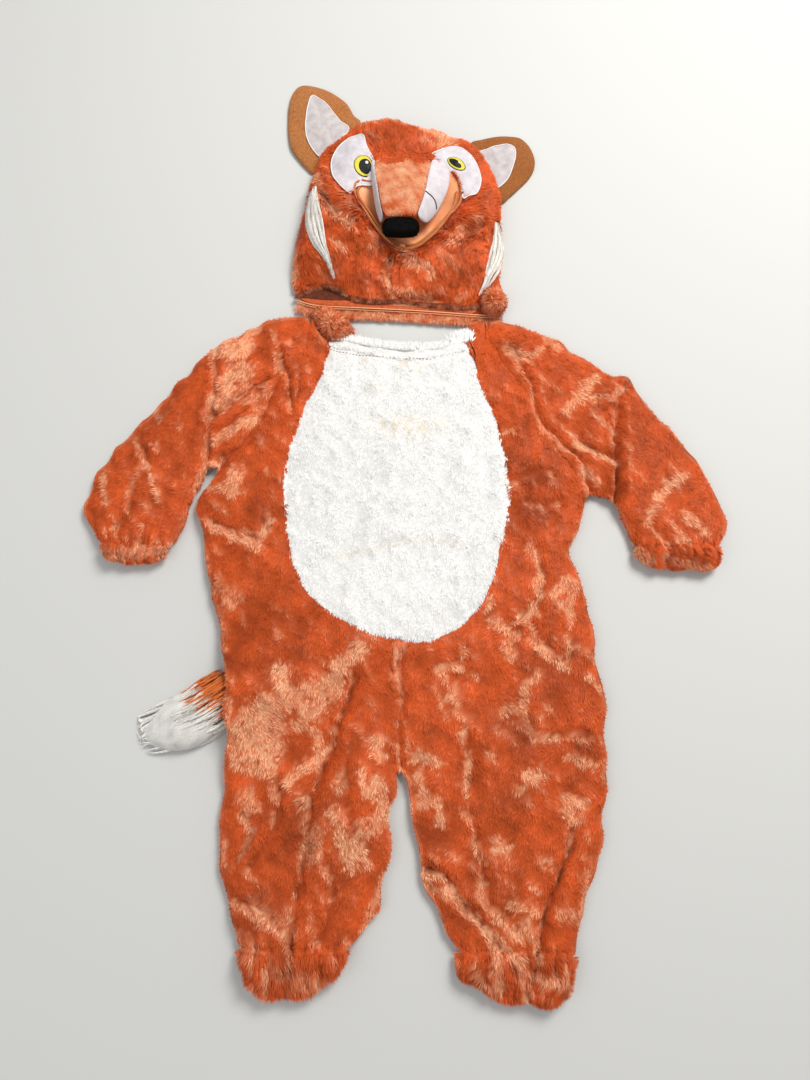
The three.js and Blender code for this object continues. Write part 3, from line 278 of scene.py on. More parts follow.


# How the body's plush lies


# Strokes of painted highlight where the crushed nap catches the light: x and y of both ends, half width,
# strength
PAINTED_HIGHLIGHT_STROKES = [
    (-44, -124, -71, -143, 9, 0.9), (-71, -143, -82, -170, 12, 0.8), (-82, -170, -105, -191, 13, 0.8),
    (-131, -151, -127, -183, 10, 0.9), (-98, -159, -117, -181, 7, 0.6), (-146, -186, -170, -212, 17, 0.9),
    (-170, -212, -163, -233, 14, 1.0), (-143, -212, -149, -246, 14, 0.9), (-121, -207, -100, -207, 5, 0.8),
    (-94, -212, -96, -228, 5, 0.7), (-80, -226, -101, -246, 5, 0.8), (-101, -246, -122, -265, 6, 0.9),
    (-176, -249, -139, -253, 6, 0.8), (-187, -178, -181, -249, 4, 0.6), (-32, -223, -29, -236, 7, 0.9),
    (-45, -254, -40, -274, 6, 0.8), (-29, -267, -21, -300, 9, 0.9), (-26, -300, -42, -315, 9, 0.7),
    (-76, -295, -68, -320, 7, 0.8), (-68, -320, -55, -344, 8, 1.0), (-55, -325, -42, -344, 6, 0.8),
    (-167, -279, -164, -290, 9, 0.6), (-170, -300, -160, -315, 3, 0.9), (-160, -317, -172, -340, 4, 0.5),
    (-108, -285, -107, -287, 6, 0.7), (-95, -315, -99, -340, 9, 0.5), (-69, -259, -72, -269, 7, 0.5),
    (-189, -325, -189, -349, 3, 0.5), (-23, -362, -41, -414, 5, 0.5), (-192, -74, -197, -72, 7, 0.6),
    (-205, -83, -195, -124, 3, 0.4), (-157, -383, -118, -410, 9, 0.35), (-169, -417, -153, -429, 9, 0.3),
    (-135, -443, -86, -459, 10, 0.35), (151, -43, 148, -58, 6, 0.7), (179, -49, 167, -63, 6, 0.7),
    (190, -55, 184, -72, 5, 0.6), (147, -80, 116, -99, 3, 0.9), (94, -74, 89, -83, 4, 0.6),
    (102, -97, 121, -108, 6, 0.7), (63, -121, 60, -135, 3, 0.7), (38, -143, 60, -143, 4, 0.8),
    (36, -146, 42, -154, 5, 0.7), (76, -151, 79, -157, 3, 0.7), (49, -175, 57, -181, 5, 0.7),
    (113, -119, 115, -132, 6, 0.6), (138, -113, 154, -130, 4, 0.6), (154, -130, 178, -146, 3, 0.9),
    (179, -110, 179, -146, 3, 0.6), (147, -151, 131, -165, 4, 0.8), (131, -165, 122, -186, 6, 0.7),
    (122, -186, 103, -191, 6, 0.6), (122, -189, 135, -205, 4, 0.6), (196, -154, 205, -155, 3, 0.7),
    (210, -165, 212, -170, 3, 0.6), (154, -186, 157, -191, 3, 0.6), (143, -215, 167, -220, 3, 0.5),
    (176, -238, 203, -249, 5, 0.7), (211, -241, 211, -264, 2, 0.4), (65, -207, 62, -218, 4, 0.6),
    (33, -165, 46, -197, 3, 0.4), (13, -238, 32, -244, 7, 0.8), (16, -257, 19, -285, 6, 0.8),
    (34, -285, 37, -302, 6, 0.8), (13, -285, 32, -287, 6, 0.6), (67, -238, 66, -279, 3, 0.8),
    (86, -233, 96, -241, 4, 0.6), (128, -259, 141, -259, 7, 0.9), (141, -254, 144, -262, 4, 0.8),
    (119, -272, 121, -273, 5, 0.6), (167, -282, 190, -285, 6, 0.7), (169, -295, 179, -302, 7, 0.8),
    (94, -327, 105, -332, 7, 0.8), (73, -325, 83, -344, 3, 0.5), (146, -344, 156, -349, 5, 0.6),
    (130, -366, 135, -371, 4, 0.6), (190, -352, 180, -403, 4, 0.6), (113, -388, 134, -393, 6, 0.7),
    (95, -398, 118, -417, 5, 0.7), (123, -403, 135, -436, 5, 0.7), (21, -359, 36, -359, 3, 0.5),
    (26, -371, 44, -376, 6, 0.6), (49, -369, 69, -398, 3, 0.7), (69, -398, 115, -438, 5, 0.8),
    (160, -393, 170, -398, 7, 0.5), (137, -450, 149, -459, 5, 0.7), (163, -445, 159, -464, 4, 0.5),
    (94, -431, 94, -464, 5, 0.6), (117, -440, 121, -473, 4, 0.6), (74, -440, 81, -459, 4, 0.5),
    (-7, -138, -3, -170, 2, 0.5), (0, -218, 11, -244, 3, 0.5), (-220, 231, -191, 237, 12, 0.9),
    (-208, 224, -193, 228, 9, 1.0), (-177, 260, -191, 250, 6, 0.6), (-189, 205, -206, 186, 12, 0.8),
    (-203, 186, -217, 161, 9, 0.8), (-183, 186, -205, 164, 5, 0.5), (-165, 174, -188, 164, 5, 0.5),
    (-175, 140, -204, 127, 7, 0.7), (-201, 130, -220, 115, 6, 0.6), (-213, 91, -225, 85, 6, 0.6),
    (-193, 76, -197, 55, 9, 0.7), (-224, 61, -206, 55, 5, 0.5), (-218, 11, -198, 2, 3, 1.0),
    (-198, 2, -166, -12, 4, 0.9), (-153, 20, -164, -3, 5, 0.8), (-184, 8, -170, 5, 5, 0.5),
    (-348, 79, -340, 43, 4, 0.8), (-297, 91, -277, 40, 3, 0.9), (-300, 91, -312, 55, 4, 0.4),
    (-236, 73, -245, 32, 3, 0.5), (-293, 155, -283, 143, 4, 0.5), (-335, -15, -270, -15, 7, 0.5),
    (-206, -58, -189, -66, 9, 0.4), (-225, -15, -208, -83, 3, 0.35), (119, 231, 136, 218, 5, 0.8),
    (145, 218, 161, 231, 4, 0.6), (173, 247, 179, 234, 7, 0.6), (133, 215, 130, 205, 4, 0.6),
    (116, 127, 125, 126, 3, 0.6), (221, 193, 206, 174, 7, 0.8), (206, 174, 190, 152, 7, 0.8),
    (211, 168, 247, 171, 3, 0.9), (247, 174, 256, 180, 5, 0.7), (216, 152, 241, 124, 4, 0.6),
    (192, 118, 205, 103, 5, 0.7), (203, 112, 220, 97, 3, 0.8), (214, 103, 242, 85, 3, 0.5),
    (204, 79, 218, 67, 5, 0.6), (313, 73, 289, 49, 6, 0.9), (289, 49, 273, 20, 5, 0.7),
    (322, 76, 310, 64, 5, 0.7), (316, 26, 327, 20, 6, 0.8), (328, 5, 343, 8, 4, 0.5),
    (305, -3, 314, -1, 5, 0.5), (259, -15, 273, -24, 6, 0.6), (287, -21, 337, -32, 5, 0.5),
    (148, -52, 153, -66, 5, 0.8), (150, -69, 125, -88, 3, 0.7), (141, -9, 149, -29, 6, 0.4),
    (179, -49, 167, -66, 6, 0.7), (167, -66, 183, -86, 5, 0.7), (95, -66, 89, -83, 3, 0.8),
    (187, -49, 182, -99, 3, 0.6), (195, 8, 186, -15, 2, 0.4), (97, -91, 119, -110, 5, 0.7),
    (-26, 533, 1, 530, 6, 0.5), (25, 515, 54, 505, 9, 0.9), (39, 505, 45, 487, 7, 0.7),
    (23, 495, 39, 490, 5, 0.5), (-53, 525, -35, 525, 3, 0.4), (-111, 457, -102, 440, 6, 0.7),
    (-106, 440, -93, 422, 4, 0.5), (-93, 415, -82, 403, 4, 0.6), (-80, 403, -66, 388, 6, 0.8),
    (-89, 367, -76, 355, 5, 0.8), (-46, 376, -29, 359, 4, 0.5), (-16, 345, -20, 315, 3, 0.7),
    (1, 348, 24, 336, 7, 0.7), (-12, 312, 26, 301, 5, 0.5), (29, 329, 33, 324, 4, 0.8),
    (-135, 361, -134, 325, 4, 0.5), (-109, 335, -91, 318, 3, 0.3), (57, 364, 74, 374, 2, 0.8),
    (74, 376, 92, 384, 2, 0.6), (79, 393, 87, 391, 4, 0.5), (65, 379, 57, 362, 4, 0.5),
    (-109, 303, -72, 291, 2, 0.4), (-34, 303, -12, 291, 3, 0.4), (63, 300, 74, 303, 4, 0.4),
    (107, 314, 116, 307, 5, 0.5), (111, 288, 115, 284, 4, 0.5), (-128, 457, -115, 459, 2, 0.5),
    (44, 350, 61, 336, 6, 0.3),
]

# Creases of the cloth: half width, depth, and the points of the line
CREASES = [
    # left thigh and knee
    (5, 4, [(-53, -151), (-60, -178), (-73, -212), (-85, -244), (-92, -269), (-98, -282), (-102, -312),
            (-106, -344), (-109, -369), (-115, -395), (-117, -431)]),
    # left knee lap
    (5, 3, [(-136, -264), (-132, -287), (-139, -315), (-154, -340), (-163, -352)]),
    # left outer knee
    (5, 2.5, [(-173, -295), (-160, -315), (-177, -347)]),
    # centre seam
    (3.5, 1.4, [(-7, -121), (-4, -170), (-8, -212), (-3, -249)]),
    # left thigh inner
    (7, 1.8, [(-59, -228), (-66, -264), (-58, -300), (-37, -340)]),
    # left shin
    (6, 2.4, [(-78, -349), (-72, -386), (-87, -422)]),
    # left shin outer
    (6, 2.5, [(-173, -383), (-144, -395), (-118, -417)]),
    # right lap
    (4.5, 4.5, [(177, -315), (172, -340), (161, -362), (150, -383), (142, -405), (138, -429), (131, -445),
                (129, -464)]),
    # right inner hem
    (5, 4, [(23, -354), (42, -359), (52, -376), (69, -398), (87, -414), (97, -431)]),
    # right thigh
    (5, 2.4, [(65, -212), (67, -244), (69, -295), (78, -332), (83, -364), (88, -388)]),
    # crotch
    (5, 1.5, [(-5, -165), (0, -202)]),
    # right hip
    (5, 2.5, [(138, -94), (154, -119), (175, -138)]),
    # right thigh across
    (8, 2.2, [(142, -219), (177, -215), (212, -218)]),
    # right belly edge
    (4, 2, [(66, -124), (55, -138), (38, -149)]),
    # right hip up
    (5, 2.2, [(113, -99), (147, -83), (151, -60)]),
    # left shoulder high
    (4.5, 3.4, [(-225, 144), (-200, 168), (-159, 193)]),
    # left shoulder low
    (4, 2.8, [(-218, 127), (-201, 140), (-187, 152)]),
    # left raglan
    (4, 2, [(-156, 257), (-146, 228), (-150, 189), (-164, 149), (-188, 109), (-213, 88)]),
    # left neck
    (4, 2.2, [(-146, 224), (-136, 186), (-132, 155)]),
    # left neck inner
    (4, 1.6, [(-124, 196), (-126, 164)]),
    # left cuff
    (6, 2.4, [(-312, 55), (-313, 29), (-329, 14)]),
    # left elbow
    (5, 1.8, [(-314, 121), (-301, 106), (-294, 85)]),
    # left waist
    (6, 2.6, [(-221, 20), (-198, 11), (-164, -3), (-151, 23)]),
    # left sleeve gather
    (4, 2, [(-295, 14), (-296, -9)]),
    # right shoulder
    (4.5, 3.4, [(203, 112), (220, 100), (242, 92)]),
    # left armhole
    (3.5, 3.2, [(-225, 236), (-221, 188), (-226, 126), (-229, 78)]),
    # right armhole
    (4, 4.0, [(267, 194), (250, 169), (243, 126), (242, 78), (240, 42)]),
    # right raglan
    (4, 2, [(122, 234), (147, 186), (157, 140), (180, 112), (202, 91), (212, 58)]),
    # right neck
    (4, 2.4, [(116, 228), (134, 220), (148, 215)]),
    # right upper arm
    (4, 2, [(217, 164), (247, 169)]),
    # right chest
    (7, 2, [(121, 67), (144, 76), (167, 79)]),
    # right waist
    (7, 2.2, [(137, 43), (157, 37), (183, 46)]),
    # right cuff
    (5, 2.4, [(292, 5), (299, -15), (295, -26)]),
    # right elbow
    (5, 2, [(278, 14), (291, -3)]),
    # right flank
    (6, 2, [(149, -15), (157, -49), (150, -72), (127, -88)]),
    # hood, the lap below the left cheek
    (6, 5, [(-103, 432), (-91, 411), (-78, 395), (-62, 385)]),
    # hood, below the right cheek
    (4, 3, [(62, 364), (78, 372), (92, 382)]),
    # hood, chin seam
    (4, 2.5, [(-16, 349), (-21, 325), (-15, 309), (-7, 299)]),
    # hood, chin fold
    (4, 2.0, [(-7, 299), (18, 297), (44, 296)]),
]

# Gathers at the hems: x from and to, y where they begin, y of the hem, pitch, depth
GATHERS = [
    (-172, -62, -385, -448, 17, 2.4),
    (56, 172, -395, -455, 14, 2.0),
    (-344, -270, 28, -8, 13, 2.0),
    (262, 356, 24, -16, 12, 1.8),
]

# Patches of painted shade in the folds: x, y, reach, strength
PAINTED_SHADE_PATCHES = [
    (-110, 20, 34, 0.35),
    (-165, 40, 30, 0.25),
    (-150, -100, 60, 0.25),
    (-110, -310, 34, 0.35),
    (-150, -390, 30, 0.30),
    (-60, -340, 30, 0.30),
    (150, 75, 22, 0.45),
    (140, 35, 30, 0.35),
    (120, 100, 30, 0.30),
    (128, -215, 26, 0.40),
    (105, -285, 26, 0.30),
    (96, -375, 26, 0.30),
    (35, -320, 24, 0.30),
    (165, -150, 34, 0.30),
    (190, -240, 24, 0.30),
    (290, 130, 50, 0.15),
    (-280, 130, 50, 0.15),
    (-10, 505, 22, 0.25),
    (-35, 495, 12, 0.25),
    (-84, 332, 16, 0.25),
    (-48, 324, 12, 0.3),
    (68, 330, 16, 0.3),
    (72, 385, 12, 0.35),
    (-72, 372, 12, 0.2),
]

# Stains on the belly: x, y, reach along x and y, strength; and a line along a fold, tinted with the stain
# colour
STAINS = [
    (2, 134, 36, 13, 0.9),
    (-6, 212, 8, 5, 0.7),
    (-48, 214, 7, 4, 0.6),
    (18, 205, 8, 4, 0.4),
    (-34, 178, 14, 9, 0.35),
]
BELLY_FOLD = [(-79, -21), (-29, -12), (18, 2), (56, -8)]

GRID_STEP = 1.5
GRID_LOW = np.array([-400.0, -520.0])
GRID_CELLS = (534, 774)
BELOW_LAST = 1.001


class Chart:
    """A value over the garment's plan, worked out once on a grid and read between cells."""

    def __init__(self, values):
        self.values = values

    def at(self, x, y):
        u = np.clip((np.asarray(x) - GRID_LOW[0]) / GRID_STEP, 0, GRID_CELLS[0] - BELOW_LAST)
        v = np.clip((np.asarray(y) - GRID_LOW[1]) / GRID_STEP, 0, GRID_CELLS[1] - BELOW_LAST)
        i, j = u.astype(int), v.astype(int)
        du, dv = u - i, v - j
        grid = self.values
        near = grid[i, j] * (1 - du) + grid[i + 1, j] * du
        far = grid[i, j + 1] * (1 - du) + grid[i + 1, j + 1] * du
        return near * (1 - dv) + far * dv


def grid_points():
    x = GRID_LOW[0] + GRID_STEP * np.arange(GRID_CELLS[0])
    y = GRID_LOW[1] + GRID_STEP * np.arange(GRID_CELLS[1])
    return np.meshgrid(x, y, indexing="ij")


PLAN_X, PLAN_Y = grid_points()


def distance_to_line(x, y, line):
    nearest = np.full(np.shape(x), 1e9)
    for (x0, y0), (x1, y1) in zip(line[:-1], line[1:]):
        dx, dy = x1 - x0, y1 - y0
        share = np.clip(((x - x0) * dx + (y - y0) * dy) / (dx * dx + dy * dy + 1e-9), 0, 1)
        nearest = np.minimum(nearest, np.hypot(x - x0 - share * dx, y - y0 - share * dy))
    return nearest


def painted_highlight_chart():
    """Painted highlight on the nap: the strokes, with ragged edges."""
    ragged = 1 + 0.30 * field(PLAN_X, PLAN_Y, 18, 5) + 0.25 * field(PLAN_X, PLAN_Y, 9, 6)
    ragged += 0.22 * field(PLAN_X, PLAN_Y, 4.5, 7)
    total = np.zeros(PLAN_X.shape)
    for x0, y0, x1, y1, half_width, strength in PAINTED_HIGHLIGHT_STROKES:
        away = distance_to_line(PLAN_X, PLAN_Y, [(x0, y0), (x1, y1)])
        reach = np.maximum(0.25, ragged) * half_width
        total = np.maximum(total, strength * (1 - smoothstep(away / reach, 0.70, 1.20)))
    return Chart(total)


def crease_profile(away, half_width, depth):
    """A trough with a soft lip on each side."""
    trough = np.exp(-((away / (0.7 * half_width)) ** 2))
    lips = np.exp(-(((away - 2.3 * half_width) / (1.3 * half_width)) ** 2))
    return depth * (0.45 * lips - trough)


def gather_charts():
    """The small folds that elastic draws the hems into, and the painted shade in the valleys between them."""
    height = np.zeros(PLAN_X.shape)
    dark = np.zeros(PLAN_X.shape)
    for x0, x1, y_start, y_hem, pitch, depth in GATHERS:
        within = smoothstep(PLAN_X, x0 - 8, x0 + 4) * (1 - smoothstep(PLAN_X, x1 - 4, x1 + 8))
        growth = within * smoothstep(y_start - PLAN_Y, 0, y_start - y_hem) * (PLAN_Y > y_hem - 60)
        phase = PLAN_X + 3.5 * field(PLAN_X, PLAN_Y, 38, 76) + 0.05 * (PLAN_X - (x0 + x1) / 2)
        ridge = np.abs(np.sin(phase * math.pi / pitch)) ** 0.7
        height += growth * depth * (ridge - 0.6)
        # Painted shade in the valleys of the gathers
        dark = np.maximum(dark, 0.42 * growth * (1 - smoothstep(ridge, 0.10, 0.65)))
    return height, dark


DARKEST = 0.85


def relief_charts():
    """How far the plush stands above or below its plain form, and the painted shade of its creases, gathers
    and folds.
    """
    x, y = PLAN_X, PLAN_Y
    height = 1.5 * field(x, y, 58, 71, stretch=1.7, turn=1.2)
    height += 0.8 * field(x, y, 27, 72, stretch=1.5, turn=2.0)
    height += 0.22 * field(x, y, 11, 73)
    dark = np.zeros(x.shape)
    wobble = 0.8 * field(x, y, 20, 74)
    for half_width, depth, line in CREASES:
        away = distance_to_line(x, y, line) + wobble
        height += crease_profile(away, half_width, depth)
        # Painted shade along the bottom of each crease
        dark = np.maximum(dark, 0.17 * depth * np.exp(-((away / (0.4 * half_width)) ** 2)))
    folds, valleys = gather_charts()
    height += folds
    dark = np.maximum(dark, valleys)
    # Painted shade in patches over the folds
    for cx, cy, reach, strength in PAINTED_SHADE_PATCHES:
        away = np.hypot(x - cx, y - cy) * (1 + 0.3 * field(x, y, 30, 75))
        dark = np.maximum(dark, strength * np.exp(-((away / reach) ** 2)))
    slope_x, slope_y = np.gradient(height, GRID_STEP)
    return Chart(height), Chart(slope_x), Chart(slope_y), Chart(np.clip(dark, 0, DARKEST))


# Painted highlight over the garment's plan
PAINTED_HIGHLIGHT_CHART = painted_highlight_chart()
RELIEF, SLOPE_X, SLOPE_Y, PAINTED_SHADE = relief_charts()
SHEEN_SIDE = np.array([0.6, 0.8])


def painted_highlight(x, y):
    """Painted highlight: how much of the pile is lit, from the strokes and from slopes that face the light.
    """
    facing = -(SLOPE_X.at(x, y) * SHEEN_SIDE[0] + SLOPE_Y.at(x, y) * SHEEN_SIDE[1])
    return np.clip(PAINTED_HIGHLIGHT_CHART.at(x, y) + 0.55 * smoothstep(facing, 0.10, 0.40), 0, 1)


DOWNWARD = -math.pi / 2
FACE_MIDDLE_Y = 400


def swept(points, heading, wide, fine):
    """Nap along a heading, drawn to and fro by two patterns: strength, pitch and seed of each."""
    x, y = points[:, 0], points[:, 1]
    angle = heading + wide[0] * field(x, y, *wide[1:]) + fine[0] * field(x, y, *fine[1:])
    return np.stack([np.cos(angle), np.sin(angle), np.zeros(len(x))], axis=1)


def body_nap(points):
    return swept(points, DOWNWARD, (0.55, 90, 11), (0.35, 30, 12))


def sleeve_nap(side):
    heading = math.radians(-128 if side == "left" else -52)
    return lambda points: swept(points, heading, (0.5, 80, 13), (0.35, 28, 14))


def hood_head_nap(points):
    away = np.arctan2(points[:, 1] - FACE_MIDDLE_Y, points[:, 0])
    return swept(points, away, (0.4, 60, 15), (0.3, 22, 16))


NAP_TURN = 0.22


class Pile:
    """Everything that a patch of pile needs besides where it grows."""

    def __init__(self, nap, length, width, lift, droop, tones, wander=0.07, glint=0.07):
        self.nap = nap
        self.length = length
        self.width = width
        self.lift = lift
        self.droop = droop
        self.tones = tones
        self.wander = wander
        self.glint = glint


def orange_tones(points, rng):
    x, y = points[:, 0], points[:, 1]
    sparkle = rng.uniform(0.15, 1.35, len(x))
    # Painted highlight: the highlight strokes and lit slopes, and a painted rim light along the garment's
    # outline.
    glow = np.clip((painted_highlight(x, y) + 0.35 * rim(x, y)) * sparkle, 0, 1)
    shade = 1 + 0.11 * field(x, y, 42, 21) + 0.07 * field(x, y, 15, 22) + rng.normal(0, 0.04, len(x))
    shade += 0.13 * (y > HOOD_BOTTOM) * field(x, y, 7, 25, stretch=2.0, turn=1.6)
    # Painted shade in the creases, gathers and folds.
    shade = np.clip(shade * (1 - PAINTED_SHADE.at(x, y)), 0.15, 1.5)
    # The painted highlight also lifts the shade towards full brightness.
    shade = (shade + (1.08 - shade) * 0.75 * glow)[:, None]
    root = mix(ORANGE_ROOT, ORANGE_TIP, 0.6 * glow) * shade
    middle = mix(ORANGE_MID, HIGHLIGHT_PEACH, 0.75 * glow) * shade
    tip = mix(ORANGE_TIP, HIGHLIGHT_PEACH, glow) * shade
    return root, middle, tip


def snout_tones(points, rng):
    """Short plush that the light catches nearly all over."""
    x, y = points[:, 0], points[:, 1]
    end = smoothstep(y, 376, 412)
    patches = 0.20 * field(x, y, 19, 26, 1.7, 0.8) + 0.15 * field(x, y, 8, 23, 2.2, 2.3)
    glow = np.clip(0.16 + 0.30 * end + patches + rng.normal(0, 0.09, len(x)), 0, 1)
    # Painted shade in the creases.
    shade = np.clip(1 - PAINTED_SHADE.at(x, y), 0.2, 1)[:, None]
    tip = mix(ORANGE_TIP, HIGHLIGHT_PEACH, glow) * shade
    return tip * 0.8, tip * 0.92, tip


def fringe_tones(points, rng):
    x, y = points[:, 0], points[:, 1]
    # Painted highlight: tips mixed at random towards the highlight colour.
    glow = np.clip(0.30 + 0.22 * field(x, y, 17, 24) + rng.normal(0, 0.16, len(x)), 0, 1)
    tip = mix(ORANGE_TIP, HIGHLIGHT_PEACH, glow)
    return tip * 0.5, tip * 0.8, tip


def roll_tones(points, rng):
    x, y = points[:, 0], points[:, 1]
    # Painted highlight: tips mixed at random towards the highlight colour.
    glow = np.clip(0.22 + 0.3 * field(x, y, 7, 27) + rng.normal(0, 0.14, len(x)), 0, 1)
    tip = mix(ORANGE_TIP, HIGHLIGHT_PEACH, glow)
    return tip * 0.65, tip * 0.95, tip * 1.1


def overhang_tones(points, rng):
    """Dark hair in the shade of the hood's lower edge, with lit tips here and there."""
    x, y = points[:, 0], points[:, 1]
    light = np.clip(0.30 + 0.35 * field(x, y, 9, 28) + rng.normal(0, 0.15, len(x)), 0, 1)
    tip = mix(OVERHANG_DARK, HIGHLIGHT_PEACH, 0.6 * light)
    root = mix(ORANGE_ROOT, OVERHANG_DARK, np.full(len(x), 0.4))
    return root, mix(OVERHANG_DARK, ORANGE_TIP, 0.6 * light), tip


def cream_tones(points, rng):
    x, y = points[:, 0], points[:, 1]
    stains = np.zeros(len(x))
    for cx, cy, reach_x, reach_y, strength in STAINS:
        patch = np.exp(-(((x - cx) / reach_x) ** 2) - ((y - cy) / reach_y) ** 2)
        stains += strength * patch * smoothstep(field(x, y, 12, 31), -0.6, 0.8)
    fold = distance_to_line(x, y, BELLY_FOLD)
    stains += 0.35 * np.exp(-((fold / 3.0) ** 2))
    shade = np.clip(1 + rng.normal(0, 0.05, len(x)), 0.8, 1.1)[:, None]
    root = mix(CREAM_ROOT, STAIN, np.clip(0.7 * stains, 0, 1)) * shade
    tip = mix(CREAM_TIP, STAIN, np.clip(0.8 * stains, 0, 1)) * shade
    return root, mix(root, tip, np.full(len(x), 0.7)), tip


def tail_tones(points, rng):
    shade = np.clip(1 + rng.normal(0, 0.14, len(points)), 0.5, 1.2)[:, None]
    tip = np.asarray(TAIL_ORANGE) * shade
    return tip * 0.8, tip * 0.95, tip


def white_tones(points, rng):
    shade = np.clip(1 + rng.normal(0, 0.13, len(points)), 0.50, 1.06)[:, None]
    root = np.asarray(WHITE_ROOT) * shade
    tip = np.asarray(WHITE_TIP) * shade
    return root, 0.4 * root + 0.6 * tip, tip


def with_relief(points, normals):
    """Points and normals of plain cloth, moved and turned by the creases and swells."""
    x, y = points[:, 0], points[:, 1]
    upright = smoothstep(normals[:, 2], 0.25, 0.9)
    moved = points.copy()
    moved[:, 2] += RELIEF.at(x, y) * upright
    turned = normals.copy()
    turned[:, 0] -= SLOPE_X.at(x, y) * upright
    turned[:, 1] -= SLOPE_Y.at(x, y) * upright
    return moved, normalised(turned)


# Materials


def new_material(name):
    material = bpy.data.materials.new(name)
    material.use_nodes = True
    nodes = material.node_tree.nodes
    return material, nodes, material.node_tree.links, nodes["Principled BSDF"]


def tone_noise(nodes, links, scale, low, high, detail=4.0):
    """A multiplier that varies over the object's own coordinates."""
    where = nodes.new("ShaderNodeTexCoord")
    noise = nodes.new("ShaderNodeTexNoise")
    noise.inputs["Scale"].default_value = scale
    noise.inputs["Detail"].default_value = detail
    spread = nodes.new("ShaderNodeMapRange")
    spread.inputs["From Min"].default_value = 0.3
    spread.inputs["From Max"].default_value = 0.7
    spread.inputs["To Min"].default_value = low
    spread.inputs["To Max"].default_value = high
    links.new(where.outputs["Object"], noise.inputs["Vector"])
    links.new(noise.outputs["Fac"], spread.inputs["Value"])
    return noise, spread


def pile_material(name, roughness, sheen, specular):
    material, nodes, links, shader = new_material(name)
    tone = nodes.new("ShaderNodeVertexColor")
    tone.layer_name = "tone"
    _, spread = tone_noise(nodes, links, 700.0, 0.88, 1.12)
    shade = nodes.new("ShaderNodeVectorMath")
    shade.operation = "SCALE"
    links.new(tone.outputs["Color"], shade.inputs[0])
    links.new(spread.outputs["Result"], shade.inputs["Scale"])
    links.new(shade.outputs["Vector"], shader.inputs["Base Color"])
    shader.inputs["Roughness"].default_value = roughness
    shader.inputs["Specular IOR Level"].default_value = specular
    shader.inputs["Sheen Weight"].default_value = sheen
    shader.inputs["Sheen Roughness"].default_value = 0.4
    return material


def cloth_material(name, color, dark, scale=900.0, bump=0.3, roughness=0.9, sheen=0.3):
    """Woven or napped cloth: mottled colour and a fine bump of the same noise."""
    material, nodes, links, shader = new_material(name)
    noise, spread = tone_noise(nodes, links, scale, 0.0, 1.0, detail=6.0)
    blend = nodes.new("ShaderNodeMix")
    blend.data_type = "RGBA"
    blend.inputs["A"].default_value = (*dark, 1)
    blend.inputs["B"].default_value = (*color, 1)
    links.new(spread.outputs["Result"], blend.inputs["Factor"])
    links.new(blend.outputs["Result"], shader.inputs["Base Color"])
    relief = nodes.new("ShaderNodeBump")
    relief.inputs["Strength"].default_value = bump
    relief.inputs["Distance"].default_value = 0.0006
    links.new(noise.outputs["Fac"], relief.inputs["Height"])
    links.new(relief.outputs["Normal"], shader.inputs["Normal"])
    shader.inputs["Roughness"].default_value = roughness
    shader.inputs["Sheen Weight"].default_value = sheen
    shader.inputs["Specular IOR Level"].default_value = 0.2
    return material


THREAD_SCALE = 2500.0


def thread_material(name, color, dark, bump=0.3, roughness=0.45, sheen=0.1):
    return cloth_material(name + "_thread", color, dark, THREAD_SCALE, bump, roughness, sheen)


ORANGE_PILE = pile_material("orange_pile", 0.5, 0.06, 0.12)
WHITE_PILE = pile_material("white_pile", 0.6, 0.3, 0.3)
CREAM_PILE = pile_material("cream_pile", 0.65, 0.35, 0.25)
BLACK_PLUSH = pile_material("black_pile", 0.8, 0.0, 0.05)
ORANGE_BACKING = pile_material("orange_backing", 0.6, 0.06, 0.12)
CREAM_BACKING = pile_material("cream_backing", 0.7, 0.3, 0.25)
WHITE_BACKING = pile_material("white_backing", 0.7, 0.3, 0.25)
WHITE_VELOUR = cloth_material("white_velour", (0.68, 0.64, 0.665), (0.56, 0.51, 0.535),
                              150.0, 0.30, 0.8, 0.25)
EAR_VELOUR = cloth_material("ear_velour", (0.60, 0.555, 0.555), (0.44, 0.39, 0.385), 120.0, 0.40, 0.8, 0.25)
# Both ears are one suede: the left copy is lightened as painted light, the right copy darkened as painted
# shade.
LIT_EAR_SUEDE = cloth_material("ear_suede", (0.47, 0.185, 0.052), (0.32, 0.100, 0.022), 420.0, 0.45, 0.85, 0.2)
SHADED_EAR_SUEDE = cloth_material("right_ear_shaded_suede", (0.34, 0.120, 0.028), (0.24, 0.070, 0.014),
                             420.0, 0.45, 0.85, 0.15)
BLACK_CLOTH = cloth_material("black_backing", (0.006, 0.005, 0.005), (0.003, 0.003, 0.003), sheen=0.0)
LINING = cloth_material("peach_lining", (0.98, 0.44, 0.22), (0.84, 0.30, 0.12), 60.0, 0.5, 0.45, 0.2)
HEM_SATIN = cloth_material("hem_satin", (0.62, 0.13, 0.035), (0.40, 0.055, 0.012), 260.0, 0.4, 0.4, 0.1)
BINDING_TAPE = cloth_material("binding_tape", (0.60, 0.20, 0.055), (0.42, 0.11, 0.024), 700.0, 0.3, 0.6, 0.1)
